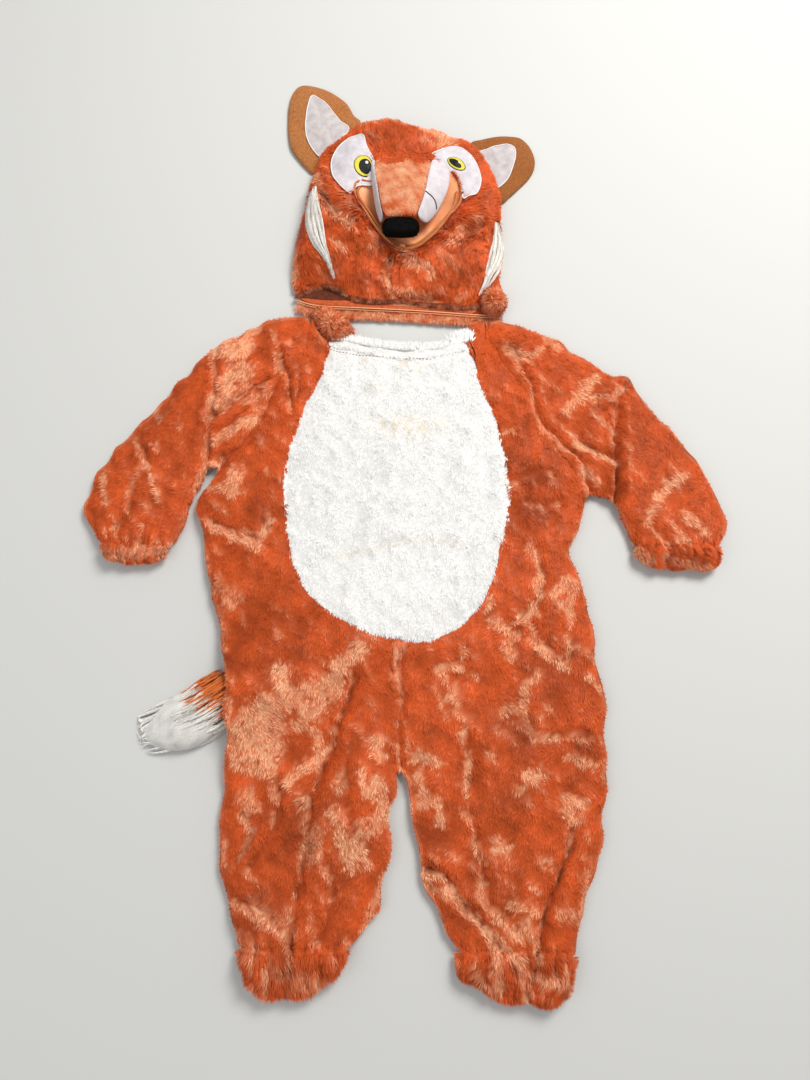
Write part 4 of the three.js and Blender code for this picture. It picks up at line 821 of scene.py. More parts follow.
# Painted shadow: a dark sheet for the hollow under the hood's hem
HOLLOW_PAINTED_SHADOW = cloth_material("hollow_painted_shadow", (0.16, 0.030, 0.010), (0.07, 0.014, 0.006),
                              200.0, 0.3, 0.7, 0.0)
PEACH_THREAD = thread_material("peach", (0.98, 0.50, 0.27), (0.80, 0.28, 0.10))
BLACK_THREAD = thread_material("black", (0.010, 0.009, 0.010), (0.004, 0.004, 0.004), 0.4, sheen=0.0)
DARK_THREAD = thread_material("dark", (0.030, 0.020, 0.022), (0.015, 0.010, 0.010), 0.2, 0.5)
YELLOW_THREAD = thread_material("yellow", (0.78, 0.70, 0.07), (0.62, 0.52, 0.04), 0.4)
WHITE_THREAD = thread_material("white", (0.90, 0.89, 0.88), (0.76, 0.74, 0.74), sheen=0.2)
BROWN_THREAD = thread_material("brown", (0.42, 0.16, 0.05), (0.26, 0.08, 0.02), roughness=0.5, sheen=0.2)
PINK_KNOB = cloth_material("knob", (0.80, 0.48, 0.40), (0.66, 0.34, 0.26), 900.0, 0.1, 0.4, 0.1)

# Which finish each CAD node's cloth takes: node, material, slot, rounding levels
CLOTHS = [
    ("front_left", ORANGE_BACKING, "orange_plush", 2),
    ("front_right", ORANGE_BACKING, "orange_plush", 2),
    ("belly", CREAM_BACKING, "cream_plush", 2),
    ("neck_band", CREAM_BACKING, "cream_plush", 1),
    ("back_left", ORANGE_BACKING, "orange_plush", 1),
    ("back_right", ORANGE_BACKING, "orange_plush", 1),
    ("sleeve_left_front", ORANGE_BACKING, "orange_plush", 2),
    ("sleeve_left_back", ORANGE_BACKING, "orange_plush", 1),
    ("sleeve_right_front", ORANGE_BACKING, "orange_plush", 2),
    ("sleeve_right_back", ORANGE_BACKING, "orange_plush", 1),
    ("cuff_left_front", ORANGE_BACKING, "orange_plush", 1),
    ("cuff_left_back", ORANGE_BACKING, "orange_plush", 1),
    ("cuff_right_front", ORANGE_BACKING, "orange_plush", 1),
    ("cuff_right_back", ORANGE_BACKING, "orange_plush", 1),
    ("leg_cuff_left_front", ORANGE_BACKING, "orange_plush", 1),
    ("leg_cuff_left_back", ORANGE_BACKING, "orange_plush", 1),
    ("leg_cuff_right_front", ORANGE_BACKING, "orange_plush", 1),
    ("leg_cuff_right_back", ORANGE_BACKING, "orange_plush", 1),
    ("neck_roll", ORANGE_BACKING, "orange_plush", 1),
    ("tail", ORANGE_BACKING, "orange_plush", 1),
    ("tail_tip", WHITE_BACKING, "white_pile", 1),
    ("hood_head", ORANGE_BACKING, "orange_plush", 2),
    ("hood_neck_left", ORANGE_BACKING, "orange_plush", 1),
    ("hood_neck_right", ORANGE_BACKING, "orange_plush", 1),
    ("hood_back", ORANGE_BACKING, "orange_plush", 1),
    ("hood_hem_facing", HEM_SATIN, "lining", 1),
    ("hood_corner_roll", ORANGE_BACKING, "orange_plush", 1),
    ("face_binding", BINDING_TAPE, "ear_felt", 1),
    ("snout_top", ORANGE_BACKING, "snout_plush", 2),
    ("snout_side_left", WHITE_VELOUR, "white_felt", 2),
    ("snout_side_right", WHITE_VELOUR, "white_felt", 2),
    ("nose", BLACK_CLOTH, "black_plush", 1),
]

shells = {node: Shell(node, levels) for node, _, _, levels in CLOTHS}

# Body cloth: the pile reaches the CAD form, so the cloth below it lies a little lower
PILE_DEPTH = 2.4
BODY_PANELS = [
    "front_left", "front_right", "belly", "neck_band",
    "sleeve_left_front", "sleeve_right_front", "cuff_left_front", "cuff_right_front",
    "leg_cuff_left_front", "leg_cuff_right_front", "hood_head", "hood_neck_left",
    "hood_neck_right",
]
# The garment's edges are never quite even: body and sleeves are drawn a little to and fro
RUFFLE = 2.0
RUFFLE_PITCH = 40.0
UNRUFFLED_ABOVE = 288.0
BELLY_MIDDLE = np.array([-9.0, 56.0, 0.0])
BELLY_HALVES = (125.0, 180.0)


def ruffled(points):
    x, y = points[:, 0], points[:, 1]
    across = (x - BELLY_MIDDLE[0]) / BELLY_HALVES[0]
    along = (y - BELLY_MIDDLE[1]) / BELLY_HALVES[1]
    share = RUFFLE * (1 - smoothstep(y, UNRUFFLED_ABOVE - 30, UNRUFFLED_ABOVE))
    share = share * smoothstep(np.hypot(across, along), 0.95, 1.35)
    moved = points.copy()
    moved[:, 0] += share * field(x, y, RUFFLE_PITCH, 91)
    moved[:, 1] += share * field(x, y, RUFFLE_PITCH, 92)
    return moved


for shell in shells.values():
    if not shell.node.startswith(("hood", "face", "snout", "nose", "tail")):
        shell.move(ruffled(shell.points))
        shell.read()

for node in BODY_PANELS:
    shells[node].lower(PILE_DEPTH)
    shells[node].emboss()

BELLY_SPREAD = np.array([1.016, 1.010, 1.0])
shells["belly"].move(BELLY_MIDDLE + (shells["belly"].points - BELLY_MIDDLE) * BELLY_SPREAD)
shells["belly"].read()
shells["belly"].emboss()

SNOUT_PARTS = ["snout_top", "snout_side_left", "snout_side_right"]
SNOUT_TAPER = (405.0, 456.0)
SNOUT_REACH = 13.0
SNOUT_SPREAD = 0.12
SNOUT_MIDDLE = -4.0
SNOUT_BASE = 31.0
SNOUT_SINK = 0.40


def seat_snout(points):
    """Draws the snout's root up under the forehead, wider and lower."""
    share = smoothstep(points[:, 1], *SNOUT_TAPER)
    moved = points.copy()
    moved[:, 0] += share * SNOUT_SPREAD * (points[:, 0] - SNOUT_MIDDLE)
    moved[:, 1] += share * SNOUT_REACH
    moved[:, 2] -= share * SNOUT_SINK * np.maximum(points[:, 2] - SNOUT_BASE, 0)
    return moved


for node in SNOUT_PARTS:
    shells[node].move(seat_snout(shells[node].points))
    shells[node].read()

NOSE_MIDDLE = 369.0
NOSE_SQUEEZE = 0.86
nose_points = shells["nose"].points.copy()
nose_points[:, 1] = NOSE_MIDDLE + NOSE_SQUEEZE * (nose_points[:, 1] - NOSE_MIDDLE)
shells["nose"].move(nose_points)
shells["nose"].read()


for node, material, slot, _ in CLOTHS:
    shell = shells[node]
    piece = place(node + "_cloth", shell.mesh, material)
    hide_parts(node)


def tree_of(*nodes):
    parts = [shells[node] for node in nodes]
    starts = np.cumsum([0] + [len(part.points) for part in parts])
    points = np.concatenate([part.points for part in parts])
    faces = np.concatenate([part.triangles + start for part, start in zip(parts, starts)])
    return BVHTree.FromPolygons(points.tolist(), faces.tolist())


# What lies on top of what: rays against all the cloth
ALL_CLOTH = tree_of(*shells)
RAY_HEIGHT = 300.0
LOOK_OUT = 2.5
SIDEWAYS = 0.5
EDGE_STEP = 1.0
COVERING_STEP = 1.5


def top_at(x, y, tree=None):
    hit = (tree or ALL_CLOTH).ray_cast(Vector((x, y, RAY_HEIGHT)), Vector((0, 0, -1)))
    return hit[0].z if hit[0] is not None else 0.0


def open_sides(middles, facing):
    """1 where a face looks up, or out to where no other cloth stands."""
    free = np.ones(len(middles))
    for i in np.flatnonzero(facing[:, 2] < SIDEWAYS):
        x, y, z = middles[i] + facing[i] * LOOK_OUT
        if top_at(x, y) > z - EDGE_STEP:
            free[i] = 0.0
    return free


def uncovered(middles, facing):
    """1 where a face looks up and nothing lies on it."""
    free = open_sides(middles, facing) * (1 - felted(middles))
    for i in np.flatnonzero(facing[:, 2] >= SIDEWAYS):
        x, y, z = middles[i]
        if top_at(x, y) > z + COVERING_STEP:
            free[i] = 0.0
    return free


# The garment's smoothed form, on which the pile closes over the seams, and its outline
SMOOTHING_CELLS = 3
GAP_CELLS = 5
GAP_COVER = 0.56
OUTLINE_CELLS = 2
RIM_CUT = 0.55
RIM_COVER = (0.60, 0.98)
INNER_COVER = (0.70, 0.97)
ROOT_SINK = 0.6
ROOT_DEPTH = 0.4
HOOD_BOTTOM = 290.0


def blurred(values, cells):
    """A box blur, run twice along both axes."""
    for _ in range(2):
        for axis in (0, 1):
            values = sum(np.roll(values, shift, axis) for shift in range(-cells, cells + 1))
            values = values / (2 * cells + 1)
    return values


def form_charts():
    form_tree = tree_of(*BODY_PANELS, "hood_back")
    flat_x, flat_y = PLAN_X.ravel(), PLAN_Y.ravel()
    height = np.array([top_at(x, y, form_tree) for x, y in zip(flat_x, flat_y)]).reshape(PLAN_X.shape)
    cover = (height > 0.01).astype(float)
    near_cover = np.maximum(blurred(cover, SMOOTHING_CELLS), 0.02)
    smooth = blurred(height, SMOOTHING_CELLS) / near_cover
    slope_x, slope_y = np.gradient(smooth, GRID_STEP)
    without_gaps = np.maximum(cover, blurred(cover, GAP_CELLS) > GAP_COVER)
    soft_cover = blurred(without_gaps, OUTLINE_CELLS)
    away_x, away_y = np.gradient(-soft_cover, GRID_STEP)
    charts = [height, smooth, slope_x, slope_y, soft_cover, away_x, away_y]
    return [Chart(values) for values in charts]


TOP, FORM, FORM_X, FORM_Y, COVER, AWAY_X, AWAY_Y = form_charts()


def rim(x, y):
    """1 along the garment's outline and 0 a few millimetres inside it."""
    return 1 - smoothstep(COVER.at(x, y), *RIM_COVER)


BACKING_TONES = {ORANGE_BACKING: orange_tones, CREAM_BACKING: cream_tones, WHITE_BACKING: white_tones}
# Painted shade: the cloth under the pile is darker than its pile, so that gaps in the pile look shadowed.
BACKING_SHADE = 0.8
BRIGHT_BACKING = {"snout_top": snout_tones, "neck_roll": fringe_tones, "hood_corner_roll": fringe_tones}
for node, material, _, _ in CLOTHS:
    if material in BACKING_TONES:
        shell = shells[node]
        tones_of = BRIGHT_BACKING.get(node, BACKING_TONES[material])
        _, middle, _ = tones_of(shell.points, np.random.default_rng(7))
        write_tones(shell.mesh, middle * BACKING_SHADE)


def on_form(spots, normals):
    """Sets pile roots on the smoothed form, away from the outline."""
    x, y = spots[:, 0], spots[:, 1]
    within = smoothstep(COVER.at(x, y), *INNER_COVER)
    lifted = spots.copy()
    lifted[:, 2] += within * np.maximum(FORM.at(x, y) - ROOT_SINK - spots[:, 2], 0)
    level = normalised(np.stack([-FORM_X.at(x, y), -FORM_Y.at(x, y), np.ones(len(x))], axis=1))
    return lifted, normalised(mix(normals, level, within))


def outward(spots, nap):
    """At the outline the pile leans out over the edge instead of along the nap."""
    x, y = spots[:, 0], spots[:, 1]
    away = np.stack([AWAY_X.at(x, y), AWAY_Y.at(x, y), np.zeros(len(x))], axis=1)
    edge = rim(x, y)
    leaning = nap * (1 - 0.8 * edge)[:, None] + normalised(away) * edge[:, None] + [0, 0, -0.05]
    return normalised(leaning), edge


TUFT_SPREAD = 0.25
LIFT_SPREAD = 0.3
LONGEST = 1.15


def plant(name, spots, normals, nap, pile, rng, material, shortest=0.6, depth=0.0, edge=0.0):
    """Writes one tuft for each spot; depth is how far its root lies below the spot."""
    count = len(spots)
    nap = normalised(nap + rng.normal(0, pile.wander, nap.shape))
    length = pile.length * rng.uniform(shortest, LONGEST, count) * (1 - RIM_CUT * edge)
    width = pile.width * rng.uniform(1 - TUFT_SPREAD, 1 + TUFT_SPREAD, count)
    lift = pile.lift + rng.normal(0, LIFT_SPREAD * pile.lift, count)
    droop = pile.droop + rng.normal(0, LIFT_SPREAD * pile.lift, count)
    roll = rng.normal(0, TUFT_SPREAD, count)
    points, faces = diamonds(spots - normals * depth, normals, nap, length, width, lift, droop, roll)
    lit = normals - NAP_TURN * nap + rng.normal(0, pile.glint, nap.shape)
    lit = np.repeat(normalised(lit), 4, axis=0)
    tones = tuft_tones(*pile.tones(spots, rng))
    place(name, write_mesh(name, above_floor(points), faces, tones, lit), material)


def grow(name, shell, count, pile, seed, material, keep=None, formed=True):
    """formed is for cloth that is part of the smoothed form, apart from what stands on it."""
    rng = np.random.default_rng(seed)
    spots, normals = shell.sample(count, rng, keep)
    if formed:
        spots, normals = on_form(spots, normals)
        spots, normals = with_relief(spots, normals)
    nap, edge = pile.nap(spots), 0.0
    if formed:
        nap, edge = outward(spots, nap)
    plant(name, spots, normals, nap, pile, rng, material, 0.7, ROOT_DEPTH, edge)


# Felt, thread and long hair on the hood


def smooth_line(points, step, closed=False):
    """A curve through the points, cut into equal steps."""
    p = np.asarray(points, float)
    if closed:
        p = np.concatenate([p[-1:], p, p[:2]])
    else:
        p = np.concatenate([2 * p[:1] - p[1:2], p, 2 * p[-1:] - p[-2:-1]])
    t = np.linspace(0, 1, 12, endpoint=False)[:, None]
    parts = []
    for a, b, c, d in zip(p[:-3], p[1:-2], p[2:-1], p[3:]):
        bend = (c - a) * t + (2 * a - 5 * b + 4 * c - d) * t**2 + (3 * b - 3 * c + d - a) * t**3
        parts.append(b + 0.5 * bend)
    curve = np.concatenate(parts + [p[-2:-1]])
    run = np.concatenate([[0], np.cumsum(np.linalg.norm(np.diff(curve, axis=0), axis=1))])
    stations = np.linspace(0, run[-1], max(int(run[-1] / step), 2) + 1)
    return np.stack([np.interp(stations, run, curve[:, k]) for k in range(curve.shape[1])], axis=1)


HOOD_TREE = tree_of("hood_head", "hood_neck_left", "hood_neck_right")
FACE_LEVEL = 35.0
FUR_COVER = 1.9


def hood_top(x, y):
    """The height at which things sit in the hood's pile; the face opening counts as level."""
    height = top_at(x, y, HOOD_TREE)
    return (height if height > 12.0 else FACE_LEVEL) + float(RELIEF.at(x, y)) + FUR_COVER


def on_hood(line, lift):
    return np.array([(x, y, hood_top(x, y) + lift) for x, y in line])


def on_parts(line, lift, *nodes):
    tree = tree_of(*nodes)
    return np.array([(x, y, top_at(x, y, tree) + lift) for x, y in line])


def domed(outline, centre, thickness, ground, rings=9, sink=1.2):
    """A closed patch of cloth on the ground below it, rounded over at its rim."""
    rim_line = smooth_line(outline, 2.0, closed=True)[:-1]
    centre = np.asarray(centre, float)
    around = len(rim_line)
    shares = np.sin(np.linspace(0, math.pi / 2, rings + 1))[1:]
    flat = [centre[None, :]] + [centre + (rim_line - centre) * share for share in shares]
    flat = np.concatenate(flat)
    level = np.array([ground(x, y) for x, y in flat])
    share_of = np.concatenate([[0.0], np.repeat(shares, around)])
    swell = thickness * np.sqrt(np.maximum(1 - share_of**8, 0.0))
    top = np.column_stack([flat, level + swell])
    bottom = np.column_stack([flat, level - sink])
    faces = []
    for k in range(around):
        after = (k + 1) % around
        faces.append((0, 1 + k, 1 + after))
        for ring in range(rings - 1):
            inner, outer = 1 + ring * around, 1 + (ring + 1) * around
            faces.append((inner + k, outer + k, outer + after))
            faces.append((inner + k, outer + after, inner + after))
    faces = np.array(faces)
    shift = len(flat)
    edge = 1 + (rings - 1) * around
    wall = []
    for k in range(around):
        after = (k + 1) % around
        wall.append((edge + k, edge + k + shift, edge + after + shift))
        wall.append((edge + k, edge + after + shift, edge + after))
    faces = np.concatenate([faces, faces[:, ::-1] + shift, np.array(wall)])
    return np.concatenate([top, bottom]), faces


def felt(name, outline, centre, thickness, ground, material, node=None, sink=1.2):
    """A flat cut of cloth; node is the CAD node that it replaces."""
    points, faces = domed(outline, centre, thickness, ground, sink=sink)
    piece = place(name, write_mesh(name, points, faces), material)
    if node is not None:
        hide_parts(node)
    return piece


def trim(name, outline, centre, thickness, ground, material, node=None):
    """A small embroidered field."""
    points, faces = domed(outline, centre, thickness, ground, rings=5, sink=0.4)
    piece = place(name, write_mesh(name, points, faces), material)
    if node is not None:
        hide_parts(node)


def ellipse(centre, half_x, half_y, turn=0.0, count=24):
    angle = np.linspace(0, 2 * math.pi, count, endpoint=False)
    x, y = half_x * np.cos(angle), half_y * np.sin(angle)
    c, s = math.cos(math.radians(turn)), math.sin(math.radians(turn))
    return np.column_stack([centre[0] + x * c - y * s, centre[1] + x * s + y * c])


def cord(line, half_width, half_height, rib=0.0, sides=6):
    """Thread, or stitches laid close side by side, along a line; rib alternates its thickness from ring to
    ring.
    """
    heading = normalised(np.gradient(line, axis=0))
    side = normalised(np.cross(heading, UP))
    over = np.cross(side, heading)
    angle = np.linspace(0, 2 * math.pi, sides, endpoint=False)
    size = 1 + rib * (-1.0) ** np.arange(len(line))
    size[0] = size[-1] = 0.3
    across = side[:, None, :] * (half_width * np.cos(angle))[None, :, None]
    upward = over[:, None, :] * (half_height * np.sin(angle))[None, :, None]
    points = (line[:, None, :] + (across + upward) * size[:, None, None]).reshape(-1, 3)
    ring = (np.arange(len(line) - 1) * sides)[:, None]
    k = np.arange(sides)[None, :]
    after = (k + 1) % sides
    corners = [ring + k, ring + after, ring + after + sides, ring + k + sides]
    faces = np.stack([np.broadcast_to(c, (len(line) - 1, sides)) for c in corners], axis=-1)
    return points, faces.reshape(-1, 4)


def joined(meshes):
    starts = np.cumsum([0] + [len(points) for points, _ in meshes])
    points = np.concatenate([points for points, _ in meshes])
    faces = np.concatenate([faces + start for (_, faces), start in zip(meshes, starts)])
    return points, faces


def threads(name, cords, material):
    return place(name, write_mesh(name, *joined(cords)), material)


BORDER_RISE = 0.9


def border(outline, level, lift):
    """Satin stitch round the edge of a patch."""
    line = smooth_line(outline, 0.8, closed=True)
    line = np.array([(x, y, level(x, y) + lift + BORDER_RISE) for x, y in line])
    return cord(line, 0.7, 0.6, rib=0.16)


def running_stitch(line, length, gap, radius, lift):
    """Separate stitches along a 3-D line."""
    cords = []
    run = np.concatenate([[0], np.cumsum(np.linalg.norm(np.diff(line, axis=0), axis=1))])
    for start in np.arange(0, run[-1] - length, length + gap):
        at = np.linspace(start, start + length, 5)
        stitch = np.stack([np.interp(at, run, line[:, k]) for k in range(3)], axis=1)
        stitch[:, 2] += lift * np.sin(np.linspace(0, math.pi, 5))
        cords.append(cord(stitch, radius, radius))
    return cords


def strip_pile(name, line, spread, count, pile, seed, material, ground):
    """Pile along a line, spread on both sides of it."""
    rng = np.random.default_rng(seed)
    path = smooth_line(line, 1.0)
    chosen = rng.integers(0, len(path) - 1, count)
    share = rng.random(count)[:, None]
    flat = path[chosen] * (1 - share) + path[chosen + 1] * share
    flat = flat + rng.uniform(-spread, spread, flat.shape)
    level = np.array([ground(x, y) for x, y in flat])
    spots = np.column_stack([flat, level])
    normals = np.tile(UP, (count, 1))
    plant(name, spots, normals, pile.nap(spots), pile, rng, material)


CLUMP_SHADE = 0.28
CLUMP_PULL = 0.75
GROOVE_DEPTH = 0.30
BEYOND_TIP = 20.0
LEAST_ROUND = 0.02
HAIR_CLEARANCE = FLOOR_CLEARANCE + 0.3
HAIR_SCATTER = 0.75


def lock(name, line, halves, heights, count, width, run, tones_of, seed, material, ground,
         wave=0.8, starts=(0.0, 0.75), slant=0.0, ragged=0.0,
         clumps=4.0, steps=7, reach=1.03):
    """Long hair that lies along a line in clumps, which narrow to the lock's tip."""
    rng = np.random.default_rng(seed)
    axis = smooth_line(line, 2.0)
    share = np.linspace(0, 1, len(axis))
    heading = normalised(np.gradient(axis, axis=0))
    knots = np.linspace(0, 1, len(halves))
    across = rng.uniform(-1, 1, count)
    clump = np.round(across * clumps) / clumps
    first = starts[0] + (starts[1] - starts[0]) * rng.random(count) + slant * across
    first = first + ragged * np.sin(23.0 * clump + seed)
    long = run * rng.uniform(0.7, 1.15, count)
    depth = rng.uniform(0.86, 1.0, count)
    phase = 40.0 * np.sin(7.3 * clump + seed) + rng.normal(0, 0.25, count)
    paths = np.zeros((count, steps, 3))
    for k, part in enumerate(np.linspace(0, 1, steps)):
        at = np.minimum(first + long * part, reach)
        held = np.clip(at, 0, 1)
        x = np.interp(held, share, axis[:, 0]) + heading[-1, 0] * BEYOND_TIP * (at - held)
        y = np.interp(held, share, axis[:, 1]) + heading[-1, 1] * BEYOND_TIP * (at - held)
        side_x = -np.interp(held, share, heading[:, 1])
        side_y = np.interp(held, share, heading[:, 0])
        half = np.interp(held, knots, halves)
        offset = across + (clump - across) * (CLUMP_PULL * part)
        swing = half * offset + wave * np.sin(9.0 * at + phase) * (0.4 + part)
        paths[:, k, 0] = x + side_x * swing
        paths[:, k, 1] = y + side_y * swing
        groove = 1 - GROOVE_DEPTH * (2 * clumps * np.abs(across - clump)) ** 2 * (0.3 + 0.7 * part)
        rounded = np.sqrt(np.maximum(1 - offset**2, LEAST_ROUND))
        swell = np.interp(held, knots, heights) * rounded * depth * groove
        base = np.array([ground(a, b) for a, b in paths[:, k, :2]])
        paths[:, k, 2] = np.maximum(base + swell, HAIR_CLEARANCE)
    flat_to = np.tile(UP, (count, 1)) + rng.normal(0, HAIR_SCATTER, (count, 3))
    points, faces = strands(paths, width * rng.uniform(0.7, 1.3, count), flat_to)
    root_tone, _, tip = tones_of(paths[:, 0, :], rng)
    blend = np.linspace(0, 1, steps)[None, :, None]
    tones = root_tone[:, None, :] * (1 - blend) + tip[:, None, :] * blend
    clump_edge = np.clip(2 * clumps * np.abs(across - clump), 0, 1) ** 2
    tones = tones * (1 - CLUMP_SHADE * clump_edge)[:, None, None]
    tones = np.repeat(tones, 2, axis=1).reshape(-1, 3)
    return place(name, write_mesh(name, above_floor(points), faces, tones), material)


def floor_level(x, y):
    return 0.0


PATCH_LEFT = [(-52, 505), (-63, 506), (-73, 502), (-84, 491), (-90, 476), (-91, 463), (-87, 446), (-78, 432),
              (-67, 422), (-61, 430), (-52, 435), (-38, 437), (-35, 455), (-38, 468), (-43, 478), (-48, 490)]
PATCH_RIGHT = [(33, 477), (41, 483), (49, 488), (58, 491), (67, 491), (76, 484), (83, 476), (90, 462),
               (93, 449), (92, 437), (87, 425), (78, 421), (71, 416), (69, 426), (67, 436), (63, 446),
               (54, 453), (46, 460), (40, 467)]
EAR_LEFT = [(-57, 546), (-66, 559), (-75, 575), (-87, 587), (-101, 596), (-117, 602), (-131, 604),
            (-140, 600), (-147, 588), (-150, 572), (-151, 554), (-150, 533), (-146, 512), (-137, 496),
            (-125, 481), (-116, 474), (-98, 482), (-72, 515)]
EAR_RIGHT = [(83, 517), (99, 523), (115, 526), (133, 527), (147, 526), (156, 518), (162, 505), (165, 491),
             (163, 478), (156, 466), (144, 453), (133, 442), (120, 431), (104, 438), (88, 462), (76, 490)]
EAR_LEFT_INNER = [(-72, 534), (-84, 549), (-98, 568), (-110, 579), (-119, 584), (-124, 572), (-127, 550),
                  (-127, 534), (-124, 520), (-118, 508), (-107, 495), (-96, 506)]
EAR_RIGHT_INNER = [(92, 497), (107, 507), (118, 511), (130, 513), (139, 509), (140, 496), (136, 480),
                   (130, 465), (122, 455), (114, 451), (106, 468)]
FELTED = [PATCH_LEFT, PATCH_RIGHT]


def inside(outline, x, y):
    """Whether points lie inside a closed outline."""
    crossings = np.zeros(np.shape(x), bool)
    line = np.asarray(outline, float)
    for (x0, y0), (x1, y1) in zip(line, np.roll(line, -1, axis=0)):
        spans = (y0 > y) != (y1 > y)
        at = x0 + (y - y0) * (x1 - x0) / (y1 - y0 + 1e-12)
        crossings ^= spans & (x < at)
    return crossings


def felted(points):
    """1 where one of the eye patches lies on the pile."""
    return np.any([inside(line, points[:, 0], points[:, 1]) for line in FELTED], axis=0).astype(float)


# Pile of the body


def orange_pile(nap, length=6.5, width=0.95, lift=0.20, droop=0.16):
    return Pile(nap, length, width, lift, droop, orange_tones)


def belly_nap(points):
    return swept(points, DOWNWARD, (0.6, 26, 51), (0.35, 9, 52))


BELLY_PILE = Pile(belly_nap, 5.5, 0.8, 0.24, 0.3, cream_tones, 0.26, 0.09)
BLADES = {
    "front_left": (58000, orange_pile(body_nap), 101),
    "front_right": (60000, orange_pile(body_nap), 102),
    "sleeve_left_front": (24000, orange_pile(sleeve_nap("left")), 103),
    "sleeve_right_front": (25000, orange_pile(sleeve_nap("right")), 104),
    "cuff_left_front": (2600, orange_pile(sleeve_nap("left"), 8.0, 0.8, 0.4), 105),
    "cuff_right_front": (4000, orange_pile(sleeve_nap("right"), 8.0, 0.8, 0.4), 106),
    "leg_cuff_left_front": (6500, orange_pile(body_nap, 13.0, 0.9, 0.45), 107),
    "leg_cuff_right_front": (6500, orange_pile(body_nap, 10.0, 0.8, 0.4), 108),
    "hood_neck_left": (11000, orange_pile(body_nap, 9.0), 110),
    "hood_neck_right": (9000, orange_pile(body_nap, 9.0), 111),
}
for node, (count, pile, seed) in BLADES.items():
    grow(node + "_pile", shells[node], count, pile, seed, ORANGE_PILE, open_sides)
grow("belly_pile", shells["belly"], 42000, BELLY_PILE, 120, CREAM_PILE, open_sides)
grow("neck_band_pile", shells["neck_band"], 4000, BELLY_PILE, 121, CREAM_PILE, open_sides)

HOOD_PILE = orange_pile(hood_head_nap, 9.0, 0.8, 0.26, 0.2)
grow("hood_head_pile", shells["hood_head"], 19000, HOOD_PILE, 130, ORANGE_PILE, uncovered)
SNOUT_PILE = Pile(body_nap, 3.5, 0.8, 0.25, 0.2, snout_tones, 0.2, 0.10)
grow("snout_pile", shells["snout_top"], 7000, SNOUT_PILE, 131, ORANGE_PILE,
     uncovered, formed=False)


def black_tones(points, rng):
    shade = np.clip(1 + rng.normal(0, 0.3, len(points)), 0.3, 2)[:, None]
    black = np.asarray(BLACK_PILE) * shade
    return black, black, black * 1.6


NOSE_PILE = Pile(body_nap, 2.2, 0.7, 0.9, 0.3, black_tones)
grow("nose_pile", shells["nose"], 4000, NOSE_PILE, 132, BLACK_PLUSH, formed=False)


def away_nap(points):
    """Pile that points away from the middle of its piece."""
    return normalised((points - points.mean(axis=0)) * [1.0, 1.0, 0.0])


ROLL_PILE = Pile(away_nap, 8.5, 1.2, 0.75, 0.35, roll_tones, 0.6, 0.35)
for number, node in enumerate(["neck_roll", "hood_corner_roll"]):
    grow(node + "_pile", shells[node], 3800, ROLL_PILE, 140 + number, ORANGE_PILE,
         formed=False)


def open_rims(middles, facing):
    """A hidden panel's pile shows only at its rim, where the cloth faces sideways."""
    return open_sides(middles, facing) * (facing[:, 2] < SIDEWAYS)


RIM_PILE = orange_pile(body_nap, 7.0, 0.9, 0.3)
BACKS = ["back_left", "back_right", "sleeve_left_back", "sleeve_right_back", "hood_back"]
for number, node in enumerate(BACKS):
    grow(node + "_pile", shells[node], 1500, RIM_PILE, 150 + number, ORANGE_PILE,
         open_rims)


# Seams and fringes where pile closes over a join


def down_nap(points):
    return np.tile([0.0, -1.0, 0.0], (len(points), 1))


def up_nap(points):
    return np.tile([0.0, 1.0, 0.0], (len(points), 1))


WHITE_TREE = tree_of("belly", "neck_band")
SEAM_TOP = 272.0
SEAM_DIP = 0.9
SEAM_COVER = 0.9


def seam_cells():
    """Plan points where the cloth dips below the smoothed form, along every seam of the body."""
    dips = (FORM.values - TOP.values > SEAM_DIP) & (COVER.values > SEAM_COVER) & (PLAN_Y < SEAM_TOP)
    return np.stack([PLAN_X[dips], PLAN_Y[dips]], axis=1)


def between_white(x, y):
    return all(top_at(x, y + step, WHITE_TREE) > 0 for step in (-7, 7))


def seam_pile(name, cells, count, pile, seed, material):
    rng = np.random.default_rng(seed)
    flat = cells[rng.integers(0, len(cells), count)] + rng.uniform(-0.8, 0.8, (count, 2))
    spots = np.column_stack([flat, FORM.at(flat[:, 0], flat[:, 1]) - ROOT_SINK])
    spots, normals = on_form(spots, np.tile(UP, (count, 1)))
    spots, normals = with_relief(spots, normals)
    plant(name, spots, normals, pile.nap(spots), pile, rng, material)


SEAM_PILE = Pile(body_nap, 6.5, 0.95, 0.20, 0.16, orange_tones, wander=0.14)
WHITE_SEAM_PILE = Pile(belly_nap, 5.5, 0.8, 0.24, 0.3, cream_tones, 0.52, 0.09)
SEAMS = seam_cells()
IS_WHITE = np.array([between_white(x, y) for x, y in SEAMS])
seam_pile("seam_pile", SEAMS[~IS_WHITE], 18000, SEAM_PILE, 201, ORANGE_PILE)
seam_pile("white_seam_pile", SEAMS[IS_WHITE], 2500, WHITE_SEAM_PILE, 202, CREAM_PILE)

CENTRE_SEAM = [(-8, -114), (-9, -123), (-8, -134), (-6, -150), (-4, -170), (-7, -196)]
BELLY_POINT = [(-13, -119), (-5, -120), (3, -119)]
CENTRE_PILE = orange_pile(body_nap)
SEAM_REACH = 12.0
SEAM_ROOT = 2.6


def centre_level(x, y):
    """The cloth's level on both sides of the centre seam."""
    beside = max(top_at(x - SEAM_REACH, y), top_at(x + SEAM_REACH, y))
    return max(beside, float(FORM.at(x, y))) - SEAM_ROOT


